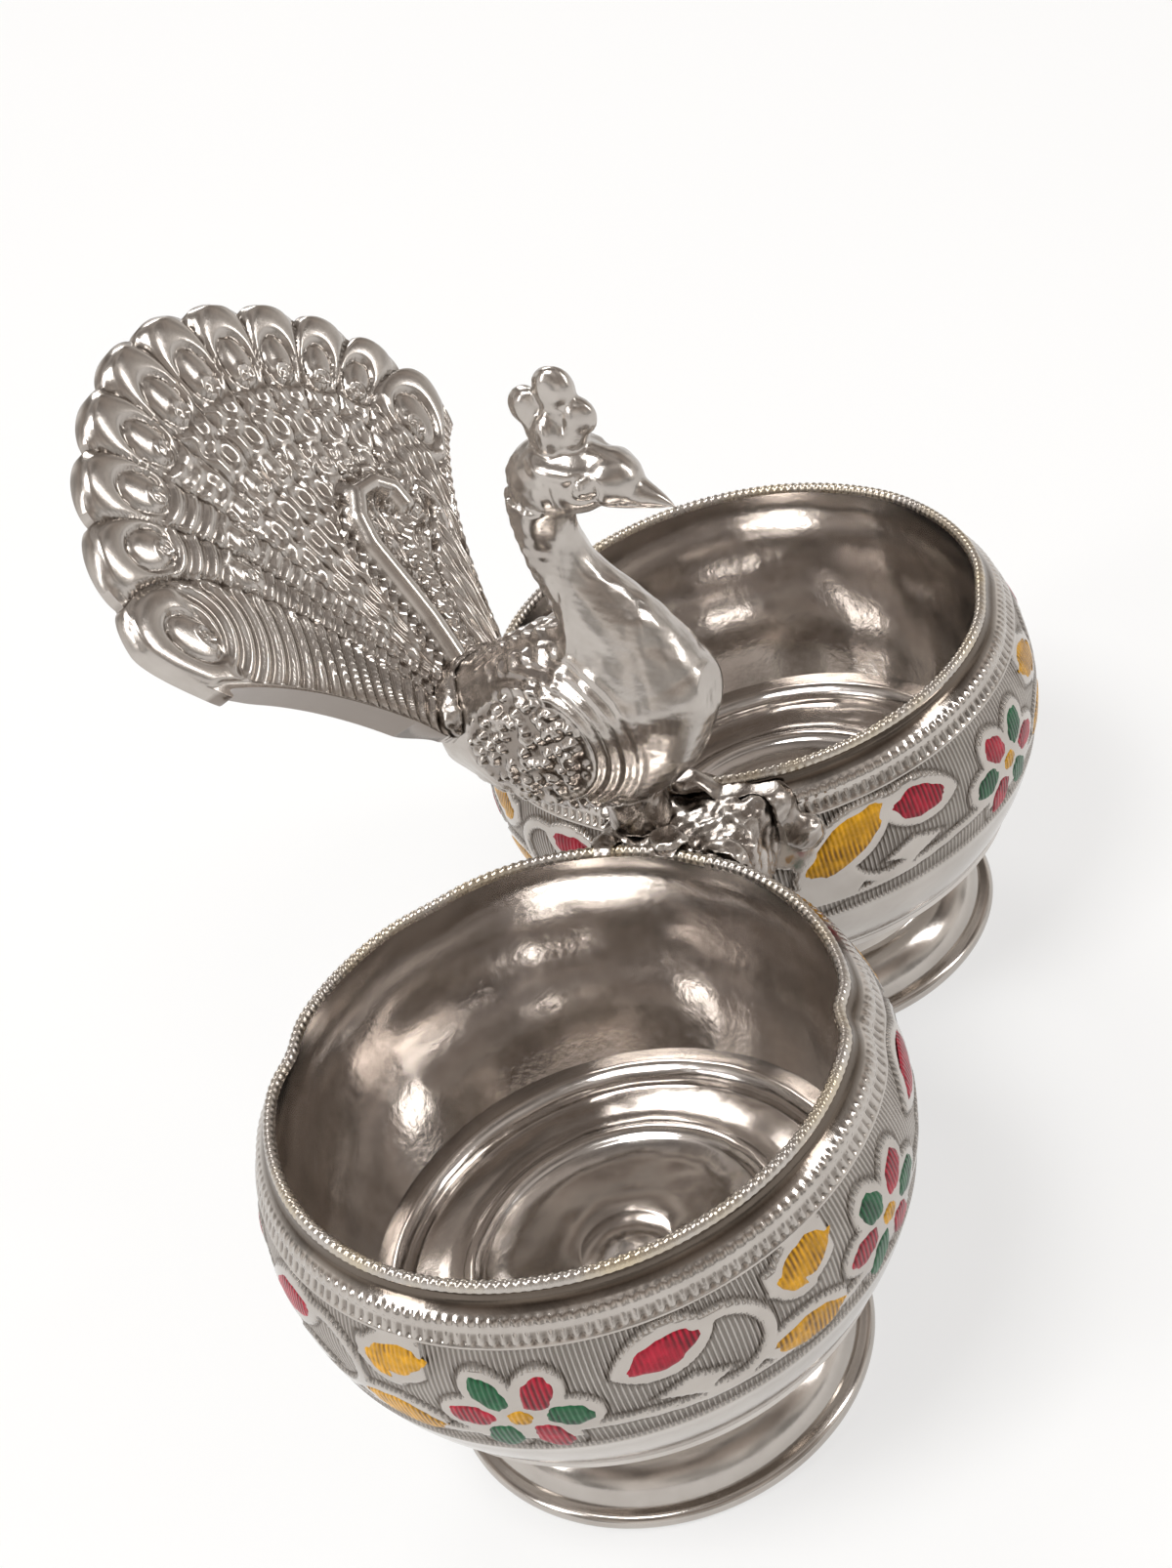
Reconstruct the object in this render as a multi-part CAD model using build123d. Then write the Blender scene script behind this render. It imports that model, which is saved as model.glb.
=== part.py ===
from build123d import *
from math import cos, pi, radians, sin
import os

# A twin kumkum holder in white metal: two footed bowls side by side, joined by a small
# cast saddle that carries a peacock with its tail fanned out.
# Millimetres, +Z up, table at z = 0. +X runs along the line of the bowls and the peacock
# looks towards -Y. Everything is built about the bowl line and moved at the end, so that
# the origin is at the middle of the footprint of the whole object.

# Bowls
BOWL_SPACING = 53.65        # centre to centre
BELLY_RADIUS = 26.0
BELLY_HEIGHT = 26.8
RIM_RADIUS = 22.95          # outside of the wall, just under the rim wire
RIM_HEIGHT = 35.7
SHOULDER_RADIUS = 24.7
SHOULDER_HEIGHT = 19.6
EDGE_RADIUS = 21.7          # sharp lower edge of the wall
EDGE_HEIGHT = 14.2
SHEET = 0.6
RIM_WIRE_RADIUS = 0.5
RIM_WIRE_HEIGHT = 0.8

# Floor of a bowl, let into the wall from below
FLOOR_TOP = 12.6
STEP_OUTER_RADIUS = 19.6
STEP_INNER_RADIUS = 18.2
RING_RADIUS = 13.0          # raised ring pressed in the floor
RING_HEIGHT = 0.5
DOME_RADIUS = 4.2
DOME_HEIGHT = 1.3

# Foot
FOOT_RADIUS = 18.2
FOOT_WAIST_RADIUS = 12.6
FOOT_LIP = 1.5              # height of the rolled lip
FOOT_SHEET = 0.7

# Enamelled band round each bowl
REPEATS = 5
ENAMEL = 0.12               # thickness of the paint
ENAMEL_GAP = 0.02           # keeps the curved faces of paint and wall apart
FLOWER_HEIGHT = 25.5
PETAL_LENGTH = 3.6
PETAL_WIDTH = 2.5
FIRST_FLOWER = 187.2        # degrees from +X, on the left bowl
MIRROR_FLOWER = 255.0       # the right bowl runs the other way round

# Saddle between the bowls
SADDLE_WIDTH = 8.2
SADDLE_FRONT = -9.5
SADDLE_BACK = 4.5
SADDLE_TOP = 36.0
SADDLE_BOTTOM = 29.5
PEG_RADIUS = 2.7
LEFT_LUMPS = (
    # x, y, height and half size of each blob of solder
    (-3.7, 3.0, 35.6, 1.7),
    (-3.6, -2.6, 36.2, 1.9),
    (-4.0, -7.3, 34.6, 2.3),
)
RIGHT_LUMPS = (
    (3.7, -2.2, 36.6, 1.9),
    (3.9, -5.6, 35.9, 2.2),
    (4.2, -8.6, 34.0, 2.6),
    (4.4, -10.8, 30.9, 2.3),
    (1.2, 3.6, 35.4, 1.9),
)

# Peacock, built facing -Y and then turned and set over the saddle
BIRD_TURN = -9.6
BIRD_Y = 2.0
BODY_SECTIONS = (
    # along the body, height of the middle, half height, half width
    (-11.4, 51.0, 2.0, 1.8),
    (-9.6, 50.4, 4.8, 3.7),
    (-4.5, 48.8, 8.6, 5.6),
    (1.0, 47.6, 9.1, 6.0),
    (6.0, 46.4, 8.0, 5.6),
    (10.5, 45.7, 6.2, 4.7),
    (13.8, 45.4, 4.8, 3.7),
)
NECK_SECTIONS = (
    # along the body, height, lean of the section in degrees, half depth, half width
    (-3.4, 51.5, 0, 7.4, 5.2),
    (-4.2, 55.4, 8, 6.1, 4.7),
    (-3.3, 58.7, 20, 4.5, 4.0),
    (-2.0, 61.8, 14, 3.4, 3.3),
    (-1.2, 65.2, 2, 3.1, 3.0),
    (-1.9, 68.6, -18, 3.4, 3.1),
)
HEAD_CENTRE = (-3.9, 70.2)
HEAD_HALF_SIZES = (3.3, 4.7, 3.5)
BEAK_ROOT = (-7.0, 69.9)
BEAK_TIP = (-13.3, 67.8)
BEAK_ROOT_RADIUS = 2.1
BEAK_TIP_RADIUS = 0.3
CREST_FOOT = (-4.2, 72.6)
CREST_LOBES = (
    # along the body, height, half size
    (-5.3, 77.8, 1.75),
    (-2.6, 76.3, 1.55),
    (-6.7, 75.6, 1.35),
)

# Tail fan: a flat plate that leans back from the rump
FAN_ROOT_Y = 11.6
FAN_ROOT_Z = 47.5
FAN_LEAN = 33.8             # degrees back from upright
FAN_CENTRE_DROP = 2.8       # the feathers fan out from this far below the root
FAN_RADIUS = 42.8           # at the middle feather
FAN_SIDE_LOSS = 13.8        # shorter by this at the outermost feathers
FAN_HALF_ANGLE = 45.0
FAN_FEATHERS = 11
FAN_LOBE = 1.1              # how far each feather's round end stands out
FAN_THICKNESS = 1.3
FAN_ROOT_HALF_WIDTH = 5.4
FAN_SIDE_MIDDLE = (12.2, 10.9)
EYE_OUTER_SETBACK = 3.4
EYE_INNER_SETBACK = 9.6
EYE_HALF_SIZES = (1.75, 2.6, 1.1)


def meridian(points):
    """Face in the XZ plane from a closed list of (radius, height) points."""
    return make_face(Polyline(*[(r, 0, z) for r, z in points], close=True))


def spun(face):
    return revolve(face, axis=Axis.Z)


def wall_line(inset):
    """Outline of the bowl wall from the rim down to the sharp edge, moved in by inset."""
    rim = Vector(RIM_RADIUS - inset, 0, RIM_HEIGHT)
    belly = Vector(BELLY_RADIUS - inset, 0, BELLY_HEIGHT)
    shoulder = Vector(SHOULDER_RADIUS - inset, 0, SHOULDER_HEIGHT)
    edge = Vector(EDGE_RADIUS - inset, 0, EDGE_HEIGHT)
    upper = TangentArc(belly, rim, tangent=(0, 0, 1))
    lower = TangentArc(belly, shoulder, tangent=(0, 0, -1))
    foot = TangentArc(shoulder, edge, tangent=lower % 1)
    return upper, lower, foot


def wall_face(outer_inset, inner_inset):
    outer = wall_line(outer_inset)
    inner = wall_line(inner_inset)
    top = Line(outer[0] @ 1, inner[0] @ 1)
    bottom = Line(outer[2] @ 1, inner[2] @ 1)
    return make_face(list(outer) + list(inner) + [top, bottom])


def bowl_wall():
    return spun(wall_face(0, SHEET))


def bowl_body():
    """The bowl as if it were full, for cutting what is soldered against it."""
    outer = wall_line(0)
    top = Line(outer[0] @ 1, (0, 0, RIM_HEIGHT))
    axis = Line((0, 0, RIM_HEIGHT), (0, 0, EDGE_HEIGHT))
    bottom = Line((0, 0, EDGE_HEIGHT), outer[2] @ 1)
    body = spun(make_face(list(outer) + [top, axis, bottom]))
    return body + rim_wire()


def rim_wire():
    """Milled wire soldered along the top edge of the wall."""
    ring_radius = RIM_RADIUS - SHEET / 2
    inside = (ring_radius - RIM_WIRE_RADIUS, 0, RIM_HEIGHT)
    outside = (ring_radius + RIM_WIRE_RADIUS, 0, RIM_HEIGHT)
    crown = ThreePointArc(inside, (ring_radius, 0, RIM_HEIGHT + RIM_WIRE_HEIGHT), outside)
    return spun(make_face([crown, Line(outside, inside)]))


def bowl_floor():
    """Pressed disc: flange under the wall, step down, raised ring and centre dome."""
    flange_top = EDGE_HEIGHT
    ring_half = 1.1
    top = [
        Line((EDGE_RADIUS, 0, flange_top), (STEP_OUTER_RADIUS, 0, flange_top)),
        ThreePointArc(
            (STEP_OUTER_RADIUS, 0, flange_top),
            (STEP_INNER_RADIUS + 0.3, 0, FLOOR_TOP + 0.95),
            (STEP_INNER_RADIUS, 0, FLOOR_TOP),
        ),
        Line((STEP_INNER_RADIUS, 0, FLOOR_TOP), (RING_RADIUS + ring_half, 0, FLOOR_TOP)),
        ThreePointArc(
            (RING_RADIUS + ring_half, 0, FLOOR_TOP),
            (RING_RADIUS, 0, FLOOR_TOP + RING_HEIGHT),
            (RING_RADIUS - ring_half, 0, FLOOR_TOP),
        ),
        Line((RING_RADIUS - ring_half, 0, FLOOR_TOP), (DOME_RADIUS, 0, FLOOR_TOP)),
        TangentArc((0, 0, FLOOR_TOP + DOME_HEIGHT), (DOME_RADIUS, 0, FLOOR_TOP), tangent=(1, 0, 0)),
    ]
    under = FLOOR_TOP - SHEET
    rest = Polyline(
        (0, 0, FLOOR_TOP + DOME_HEIGHT),
        (0, 0, under),
        (STEP_INNER_RADIUS + SHEET, 0, under),
        (STEP_OUTER_RADIUS + 0.3, 0, flange_top - SHEET),
        (EDGE_RADIUS, 0, flange_top - SHEET),
        (EDGE_RADIUS, 0, flange_top),
    )
    return spun(make_face(top + [rest]))


def foot():
    """Spun foot: flat neck flange, flared cone and a rolled lip with a flat underside."""
    neck_top = FLOOR_TOP - SHEET
    lip_inner = FOOT_RADIUS - 1.9
    lip_middle = FOOT_LIP / 2
    outer = [
        Line((0, 0, neck_top), (FOOT_WAIST_RADIUS, 0, neck_top)),
        ThreePointArc(
            (FOOT_WAIST_RADIUS, 0, neck_top),
            (FOOT_WAIST_RADIUS + 1.3, 0, neck_top * 0.46),
            (FOOT_RADIUS - 1.0, 0, FOOT_LIP),
        ),
        ThreePointArc(
            (FOOT_RADIUS - 1.0, 0, FOOT_LIP),
            (FOOT_RADIUS, 0, lip_middle),
            (FOOT_RADIUS - 0.5, 0, 0),
        ),
        Line((FOOT_RADIUS - 0.5, 0, 0), (lip_inner, 0, 0)),
        ThreePointArc(
            (lip_inner, 0, 0),
            (FOOT_WAIST_RADIUS + 0.9, 0, neck_top * 0.43),
            (FOOT_WAIST_RADIUS - FOOT_SHEET, 0, neck_top - FOOT_SHEET),
        ),
        Line((FOOT_WAIST_RADIUS - FOOT_SHEET, 0, neck_top - FOOT_SHEET), (0, 0, neck_top - FOOT_SHEET)),
        Line((0, 0, neck_top - FOOT_SHEET), (0, 0, neck_top)),
    ]
    return spun(make_face(outer))


def foot_solder():
    """Ring of solder in the corner between the neck and the floor."""
    neck_top = FLOOR_TOP - SHEET
    leg = 1.2
    ring = spun(meridian([
        (FOOT_WAIST_RADIUS - 0.3, neck_top),
        (FOOT_WAIST_RADIUS + leg, neck_top),
        (FOOT_WAIST_RADIUS - 0.3, neck_top - leg),
    ]))
    return ring - foot()


def patch(width, height, angle, level, tilt=0, pointed=False):
    """Prism that stands out along the radius; its end has the shape of one painted field."""
    if pointed:
        tip_left = (-width / 2, 0)
        tip_right = (width / 2, 0)
        outline = make_face([
            ThreePointArc(tip_left, (0.1 * width, height / 2), tip_right),
            ThreePointArc(tip_left, (0.1 * width, -height / 2), tip_right),
        ])
    else:
        outline = make_face(Ellipse(width / 2, height / 2).edges())
    outward = Plane(origin=(0, 0, level), x_dir=(0, 1, 0), z_dir=(1, 0, 0))
    prism = outward * (Rot(0, 0, tilt) * extrude(outline, amount=BELLY_RADIUS + 5))
    return Rot(0, 0, angle) * prism


def petal(number):
    """One of the six petals of a flower, counted from the right-hand one."""
    turn = 60 * number
    across = 3.7 * cos(radians(turn))
    level = FLOWER_HEIGHT + 2.9 * sin(radians(turn))
    angle = across / BELLY_RADIUS * 180 / pi
    return patch(PETAL_LENGTH, PETAL_WIDTH, angle, level, tilt=turn)


def red_fields():
    flower = [petal(n) for n in (1, 3, 5)]
    bud = patch(5.8, 2.9, 25.0, 29.2, tilt=14, pointed=True)
    return flower + [bud]


def green_fields():
    return [petal(n) for n in (0, 2, 4)]


def yellow_fields():
    centre = patch(2.0, 1.6, 0, FLOWER_HEIGHT)
    low_leaf = patch(7.4, 2.9, 49.5, 23.6, tilt=-10, pointed=True)
    high_leaf = patch(5.4, 2.6, 52.0, 30.2, tilt=8, pointed=True)
    return [centre, low_leaf, high_leaf]


def large_leaf():
    """The one large leaf of the right bowl, beside the joint."""
    skin = spun(wall_face(-ENAMEL - ENAMEL_GAP, -ENAMEL_GAP))
    return (patch(7.8, 3.4, 214.0, 28.7, tilt=22, pointed=True) & skin).solids()


def enamel(fields):
    """Thin paint on the outside of the wall, in each of the given fields, all round."""
    skin = spun(wall_face(-ENAMEL - ENAMEL_GAP, -ENAMEL_GAP))
    unit = [field & skin for field in fields]
    step = 360 / REPEATS
    solids = []
    for turn in range(REPEATS):
        for field in unit:
            solids += (Rot(0, 0, turn * step) * field).solids()
    return Compound(children=solids)


def clear_of_saddle(paint):
    """Leaves out the fields that the saddle and its solder would cover."""
    reach = SADDLE_WIDTH / 2 + 4.0
    kept = []
    for solid in paint.solids():
        middle = solid.center()
        beside = abs(middle.X) < reach and SADDLE_FRONT - 3 < middle.Y < SADDLE_BACK + 3
        if not beside:
            kept.append(solid)
    return Compound(children=kept)


def place_left(shape):
    return Pos(-BOWL_SPACING / 2, 0, 0) * shape


def place_right(shape):
    return Pos(BOWL_SPACING / 2, 0, 0) * shape


def ball(x, y, z, half_x, half_y, half_z):
    return Pos(x, y, z) * scale(Sphere(1), by=(half_x, half_y, half_z))


def ellipse_on(plane, half_x, half_y):
    return plane * make_face(Ellipse(half_x, half_y).edges())


def bird_body():
    sections = []
    for along, height, half_height, half_width in BODY_SECTIONS:
        plane = Plane(origin=(0, along, height), x_dir=(1, 0, 0), z_dir=(0, 1, 0))
        sections.append(ellipse_on(plane, half_width, half_height))
    return loft(sections)


def bird_neck():
    sections = []
    for along, height, lean, half_depth, half_width in NECK_SECTIONS:
        up = (0, sin(radians(lean)), cos(radians(lean)))
        plane = Plane(origin=(0, along, height), x_dir=(1, 0, 0), z_dir=up)
        sections.append(ellipse_on(plane, half_width, half_depth))
    return loft(sections)


def bird_head():
    skull = ball(0, HEAD_CENTRE[0], HEAD_CENTRE[1], *HEAD_HALF_SIZES)
    run = Vector(0, BEAK_TIP[0] - BEAK_ROOT[0], BEAK_TIP[1] - BEAK_ROOT[1])
    root = Plane(origin=(0, *BEAK_ROOT), x_dir=(1, 0, 0), z_dir=run.normalized())
    tip = Plane(origin=(0, *BEAK_TIP), x_dir=(1, 0, 0), z_dir=run.normalized())
    beak = loft([
        root * make_face(Circle(BEAK_ROOT_RADIUS).edges()),
        tip * make_face(Circle(BEAK_TIP_RADIUS).edges()),
    ])
    return skull + beak


def bird_crest():
    """Three flat round lobes on a short stalk."""
    crest = ball(0, CREST_FOOT[0], CREST_FOOT[1] + 1.2, 1.3, 1.9, 2.4)
    for along, height, half in CREST_LOBES:
        crest += ball(0, along, height, 1.1, half, half + 0.2)
    return crest


def fan_plane():
    lean = radians(FAN_LEAN)
    return Plane(origin=(0, FAN_ROOT_Y, FAN_ROOT_Z), x_dir=(1, 0, 0), z_dir=(0, -cos(lean), sin(lean)))


def fan_point(angle, setback=0):
    """Point of the fan's outline at an angle from the middle feather, in its own plane."""
    share = abs(angle) / FAN_HALF_ANGLE
    radius = FAN_RADIUS - FAN_SIDE_LOSS * share ** 1.6 - setback
    turn = radians(angle)
    return radius * sin(turn), radius * cos(turn) - FAN_CENTRE_DROP


def fan_outline():
    """Round feather ends along the top, hollow sides and a narrow root."""
    step = 2 * FAN_HALF_ANGLE / FAN_FEATHERS
    edges = []
    for feather in range(FAN_FEATHERS):
        start = -FAN_HALF_ANGLE + feather * step
        middle = start + step / 2
        edges.append(ThreePointArc(fan_point(start), fan_point(middle, -FAN_LOBE), fan_point(start + step)))
    left = fan_point(-FAN_HALF_ANGLE)
    right = fan_point(FAN_HALF_ANGLE)
    root_left = (-FAN_ROOT_HALF_WIDTH, 0)
    root_right = (FAN_ROOT_HALF_WIDTH, 0)
    side_x, side_y = FAN_SIDE_MIDDLE
    edges.append(ThreePointArc(right, (side_x, side_y), root_right))
    edges.append(ThreePointArc(root_right, (0, -3.2), root_left))
    edges.append(ThreePointArc(root_left, (-side_x, side_y), left))
    return make_face(edges)


def fan_eye(angle, setback):
    """Raised oval near the end of a feather, standing out of the front face."""
    x, y = fan_point(angle, setback)
    oval = scale(Sphere(1), by=EYE_HALF_SIZES)
    return Pos(x, y, -0.3) * (Rot(0, 0, -angle) * oval)


def tail_fan():
    fan = extrude(fan_outline(), amount=-FAN_THICKNESS)
    step = 2 * FAN_HALF_ANGLE / FAN_FEATHERS
    for feather in range(FAN_FEATHERS):
        angle = -FAN_HALF_ANGLE + (feather + 0.5) * step
        fan += fan_eye(angle, EYE_OUTER_SETBACK)
        if feather > 0:
            fan += fan_eye(angle - step / 2, EYE_INNER_SETBACK)
    return fan_plane() * fan


def place_bird(shape):
    return Pos(0, BIRD_Y, 0) * (Rot(0, 0, BIRD_TURN) * shape)


def saddle(bowls):
    """Cast block in the valley between the bowls, hollowed to fit against both."""
    length = SADDLE_BACK - SADDLE_FRONT
    height = SADDLE_TOP - SADDLE_BOTTOM
    block = Pos(0, (SADDLE_BACK + SADDLE_FRONT) / 2, (SADDLE_TOP + SADDLE_BOTTOM) / 2) * Box(
        SADDLE_WIDTH, length, height
    )
    block = fillet(block.edges().filter_by(Axis.Y).group_by(Axis.Z)[-1], 2.0)
    block = fillet(block.edges().filter_by(Axis.Z), 1.6)
    return block - bowls


def lumps(places):
    solder = Part()
    for x, y, z, half in places:
        solder += ball(x, y, z, half, half * 1.15, half)
    return solder


def write(name, shape):
    export_step(shape, os.path.join("parts", name + ".step"))


def one_solid(shape):
    """The largest solid of a shape, without the crumbs that a cut can leave."""
    return max(shape.solids(), key=lambda solid: solid.volume)


def build():
    pieces = {}
    wall = bowl_wall()
    floor = bowl_floor()
    base = foot()
    base_solder = foot_solder()
    wire = rim_wire()
    for side, place in (("left", place_left), ("right", place_right)):
        pieces[side + "_bowl_wall"] = place(wall)
        pieces[side + "_rim_wire"] = place(wire)
        pieces[side + "_bowl_floor"] = place(floor)
        pieces[side + "_foot"] = place(base)
        pieces[side + "_foot_solder"] = place(base_solder)
    fields = (("red", red_fields()), ("green", green_fields()), ("yellow", yellow_fields()))
    for colour, shapes in fields:
        paint = enamel(shapes)
        left = place_left(Rot(0, 0, FIRST_FLOWER) * paint)
        right = place_right(Rot(0, 0, MIRROR_FLOWER) * mirror(paint, Plane.XZ))
        pieces["left_" + colour + "_enamel"] = clear_of_saddle(left)
        pieces["right_" + colour + "_enamel"] = clear_of_saddle(right)

    leaves = pieces["right_yellow_enamel"].solids() + [place_right(leaf) for leaf in large_leaf()]
    pieces["right_yellow_enamel"] = Compound(children=leaves)

    bowls = place_left(bowl_body()) + place_right(bowl_body())
    bird = place_bird(bird_body() + bird_neck() + bird_head() + bird_crest())
    fan = place_bird(tail_fan()) - bird
    root = fan_plane() * Pos(0, 0.4, 0.6) * scale(Sphere(1), by=(5.2, 3.4, 2.6))
    tail_solder = one_solid(place_bird(root) - bird - fan)
    block = one_solid(saddle(bowls))
    peg = place_bird(Pos(0, -1.2, SADDLE_TOP + 2) * Cylinder(PEG_RADIUS, 4)) - bird
    pieces["peacock"] = one_solid(bird)
    pieces["tail_fan"] = one_solid(fan)
    pieces["tail_solder"] = tail_solder
    pieces["saddle"] = block
    pieces["peacock_peg"] = one_solid(peg)
    pieces["left_saddle_solder"] = lumps(LEFT_LUMPS) - bowls - block - peg - bird
    pieces["right_saddle_solder"] = lumps(RIGHT_LUMPS) - bowls - block - peg - bird
    return pieces


def centred(pieces):
    """Moves all pieces so that the origin is at the middle of the footprint."""
    box = Compound(children=[shape.moved(Location()) for shape in pieces.values()]).bounding_box()
    middle = box.center()
    print("footprint middle", round(middle.X, 4), round(middle.Y, 4), "size", box.size)
    return {name: Pos(-middle.X, -middle.Y, -box.min.Z) * shape for name, shape in pieces.items()}


os.makedirs("parts", exist_ok=True)
for name, shape in centred(build()).items():
    write(name, shape)
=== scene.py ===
from math import acos, cos, hypot, pi, radians, sin, sqrt

import bpy
import numpy as np
from mathutils import Matrix, Vector


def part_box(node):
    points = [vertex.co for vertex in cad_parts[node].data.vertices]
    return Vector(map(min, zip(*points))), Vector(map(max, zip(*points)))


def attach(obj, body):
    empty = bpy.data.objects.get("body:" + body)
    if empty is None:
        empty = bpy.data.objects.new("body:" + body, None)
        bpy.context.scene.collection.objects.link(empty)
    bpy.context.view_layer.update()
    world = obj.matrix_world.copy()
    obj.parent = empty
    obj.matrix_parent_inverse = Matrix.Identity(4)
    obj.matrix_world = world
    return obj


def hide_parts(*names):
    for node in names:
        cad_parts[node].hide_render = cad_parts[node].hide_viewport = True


bl_info = {
    "name": "Peacock kumkum holder",
    "version": (1, 0, 0),
    "blender": (4, 5, 0),
    "location": "View3D > Sidebar > Kumkum holder",
    "description": "Dresses the twin bowls, the peacock and its tail fan in white metal and enamel",
    "category": "Object",
}

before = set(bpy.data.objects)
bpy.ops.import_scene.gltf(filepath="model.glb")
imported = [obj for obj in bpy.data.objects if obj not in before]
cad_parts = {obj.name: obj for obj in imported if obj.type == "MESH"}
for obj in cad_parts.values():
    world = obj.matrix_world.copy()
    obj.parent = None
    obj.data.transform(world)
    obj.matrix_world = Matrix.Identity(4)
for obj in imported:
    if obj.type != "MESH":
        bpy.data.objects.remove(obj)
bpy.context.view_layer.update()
MM = 0.001
SIDES = ("left", "right")


# Places read from the frame


def node_middle(node):
    low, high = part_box(node)
    return Vector([(a + b) / 2 for a, b in zip(low, high)])


def bowl_centre(side):
    """Middle of a bowl on the table plane, in millimetres."""
    middle = node_middle(side + "_foot")
    return np.array([middle.x / MM, middle.y / MM, 0.0])


BOWLS = {side: bowl_centre(side) for side in SIDES}
BOWL_LINE = (BOWLS["left"] + BOWLS["right"]) / 2

# Heights and radii of a bowl, in millimetres, as in the solids
BELLY_RADIUS, BELLY_HEIGHT = 26.0, 26.8
RIM_RADIUS, RIM_HEIGHT = 22.95, 35.7
SHOULDER_RADIUS, SHOULDER_HEIGHT = 24.7, 19.6
EDGE_RADIUS, EDGE_HEIGHT = 21.7, 14.2
SHEET = 0.6
FLOOR_TOP = 12.6
FOOT_RADIUS = 18.2
WAIST_RADIUS = 12.6
FOOT_SHEET = 0.7
LIP_RADIUS = 0.75
NECK_TOP = FLOOR_TOP - SHEET
WIRE_HALF_WIDTH, WIRE_HEIGHT = 0.5, 0.8

# Floor of a bowl: the step at its edge, the pressed ring and the dome in the middle
STEP_OUTER, STEP_INNER = 19.6, 18.2
RING_MIDDLE, RING_HALF_WIDTH = 13.0, 1.1
DOME_RADIUS, DOME_HEIGHT = 4.2, 1.3
AXIS_GAP = 0.02                 # an outline stops just short of the axis that it spins about

# The peacock's own axes: turned a few degrees and set over the joint
BIRD_TURN = radians(-9.6)
BIRD_Y = 2.0
BIRD_PIVOT = BOWL_LINE + np.array([0.0, BIRD_Y, 0.0])

# Tail fan, in millimetres in its own plane
FAN_ROOT_Y, FAN_ROOT_Z = 11.6, 47.5
FAN_LEAN = radians(33.8)
FAN_CENTRE_DROP = 2.8
FAN_RADIUS, FAN_SIDE_LOSS = 42.8, 13.8
FAN_HALF_ANGLE = radians(45.0)
FAN_ROOT_HALF_WIDTH = 5.4
FAN_SIDE_MIDDLE = np.array([12.2, 10.9])

# Enamelled band: one repeat, measured from the middle of its flower.
# Each field is: along the band, height, half length, half width, tilt in degrees, pointed
REPEATS = 5
FIRST_FLOWER = {"left": 187.2, "right": 255.0}
RUNS = {"left": 1.0, "right": -1.0}
FLOWER_HEIGHT = 25.5
PETAL_REACH, PETAL_RISE = 3.7, 2.9
PETAL_HALF_LENGTH, PETAL_HALF_WIDTH = 1.8, 1.28
DEGREE = BELLY_RADIUS * pi / 180
BUD = (25.2 * DEGREE, 29.2, 3.0, 1.45, 13, True)
LOW_LEAF = (49.6 * DEGREE, 23.7, 3.9, 1.45, -9, True)
HIGH_LEAF = (52.2 * DEGREE, 29.9, 2.8, 1.5, 12, True)
HIGH_LEAF_TIP = (48.4 * DEGREE, 29.0, 1.5, 0.7, -42, True)
SCROLL = (34.2 * DEGREE, 26.9, 3.5)
DIAMOND = (28.4 * DEGREE, 24.95, 3.0, 1.15)

# The right bowl has one large leaf of its own beside the joint, in its first repeat
LARGE_LEAF = (41.7 * DEGREE, 28.5, 4.9, 1.85, -27, True)
OWN_LEAVES = {"left": (), "right": ((0, LARGE_LEAF),)}


class HolderSizes(bpy.types.PropertyGroup):
    hatch_lines: bpy.props.IntProperty(
        name="Hatch lines", description="Engraved lines round one bowl", default=372, min=60
    )
    beads: bpy.props.IntProperty(
        name="Beads", description="Round beads in the row under the rim", default=180, min=20
    )
    wire_ribs: bpy.props.IntProperty(
        name="Wire ribs", description="Milled ribs round the rim wire", default=200, min=20
    )
    wall_relief: bpy.props.FloatProperty(
        name="Wall relief", description="Depth of the stamped ground of a wall",
        default=0.00022, unit="LENGTH", precision=5,
    )
    feather_relief: bpy.props.FloatProperty(
        name="Feather relief", description="Height of the tail's feathers over the plate",
        default=0.0012, unit="LENGTH", precision=5,
    )
    cast_voxel: bpy.props.FloatProperty(
        name="Casting grain", description="Finest step in the cast pieces",
        default=0.00021, unit="LENGTH", precision=5,
    )


class HolderColours(bpy.types.PropertyGroup):
    metal: bpy.props.FloatVectorProperty(
        name="White metal", description="Colour of the polished metal",
        default=(0.53, 0.492, 0.455), subtype="COLOR", min=0, max=1,
    )
    # Painted shade for the hollows of the peacock, the tail, the saddle and the solder, and an even
    # darkening of the joints; it also tints the slow random mottle of all the metal.
    hollow_shade_and_tone: bpy.props.FloatVectorProperty(
        name="Hollow shade and tone", description="Darker metal in the hollows",
        default=(0.20, 0.165, 0.14), subtype="COLOR", min=0, max=1,
    )
    red: bpy.props.FloatVectorProperty(
        name="Red enamel", description="Petals and buds", default=(0.44, 0.006, 0.030),
        subtype="COLOR", min=0, max=1,
    )
    green: bpy.props.FloatVectorProperty(
        name="Green enamel", description="Petals", default=(0.006, 0.12, 0.040),
        subtype="COLOR", min=0, max=1,
    )
    yellow: bpy.props.FloatVectorProperty(
        name="Yellow enamel", description="Leaves and flower centres",
        default=(0.72, 0.36, 0.008), subtype="COLOR", min=0, max=1,
    )
    floor: bpy.props.FloatVectorProperty(
        name="Floor", description="Studio floor", default=(0.86, 0.86, 0.85),
        subtype="COLOR", min=0, max=1,
    )


# Small tools


def sizes():
    return bpy.context.scene.holder_sizes


def colours():
    return bpy.context.scene.holder_colours


def deselect():
    if bpy.context.object and bpy.context.object.mode != "OBJECT":
        bpy.ops.object.mode_set(mode="OBJECT")
    bpy.ops.object.select_all(action="DESELECT")


def activate(piece):
    deselect()
    piece.select_set(True)
    bpy.context.view_layer.objects.active = piece


def vertices(piece):
    """Vertex places of a piece in millimetres, one row each."""
    flat = np.empty(len(piece.data.vertices) * 3, dtype=np.float32)
    piece.data.vertices.foreach_get("co", flat)
    return flat.reshape(-1, 3).astype(np.float64) / MM


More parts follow.
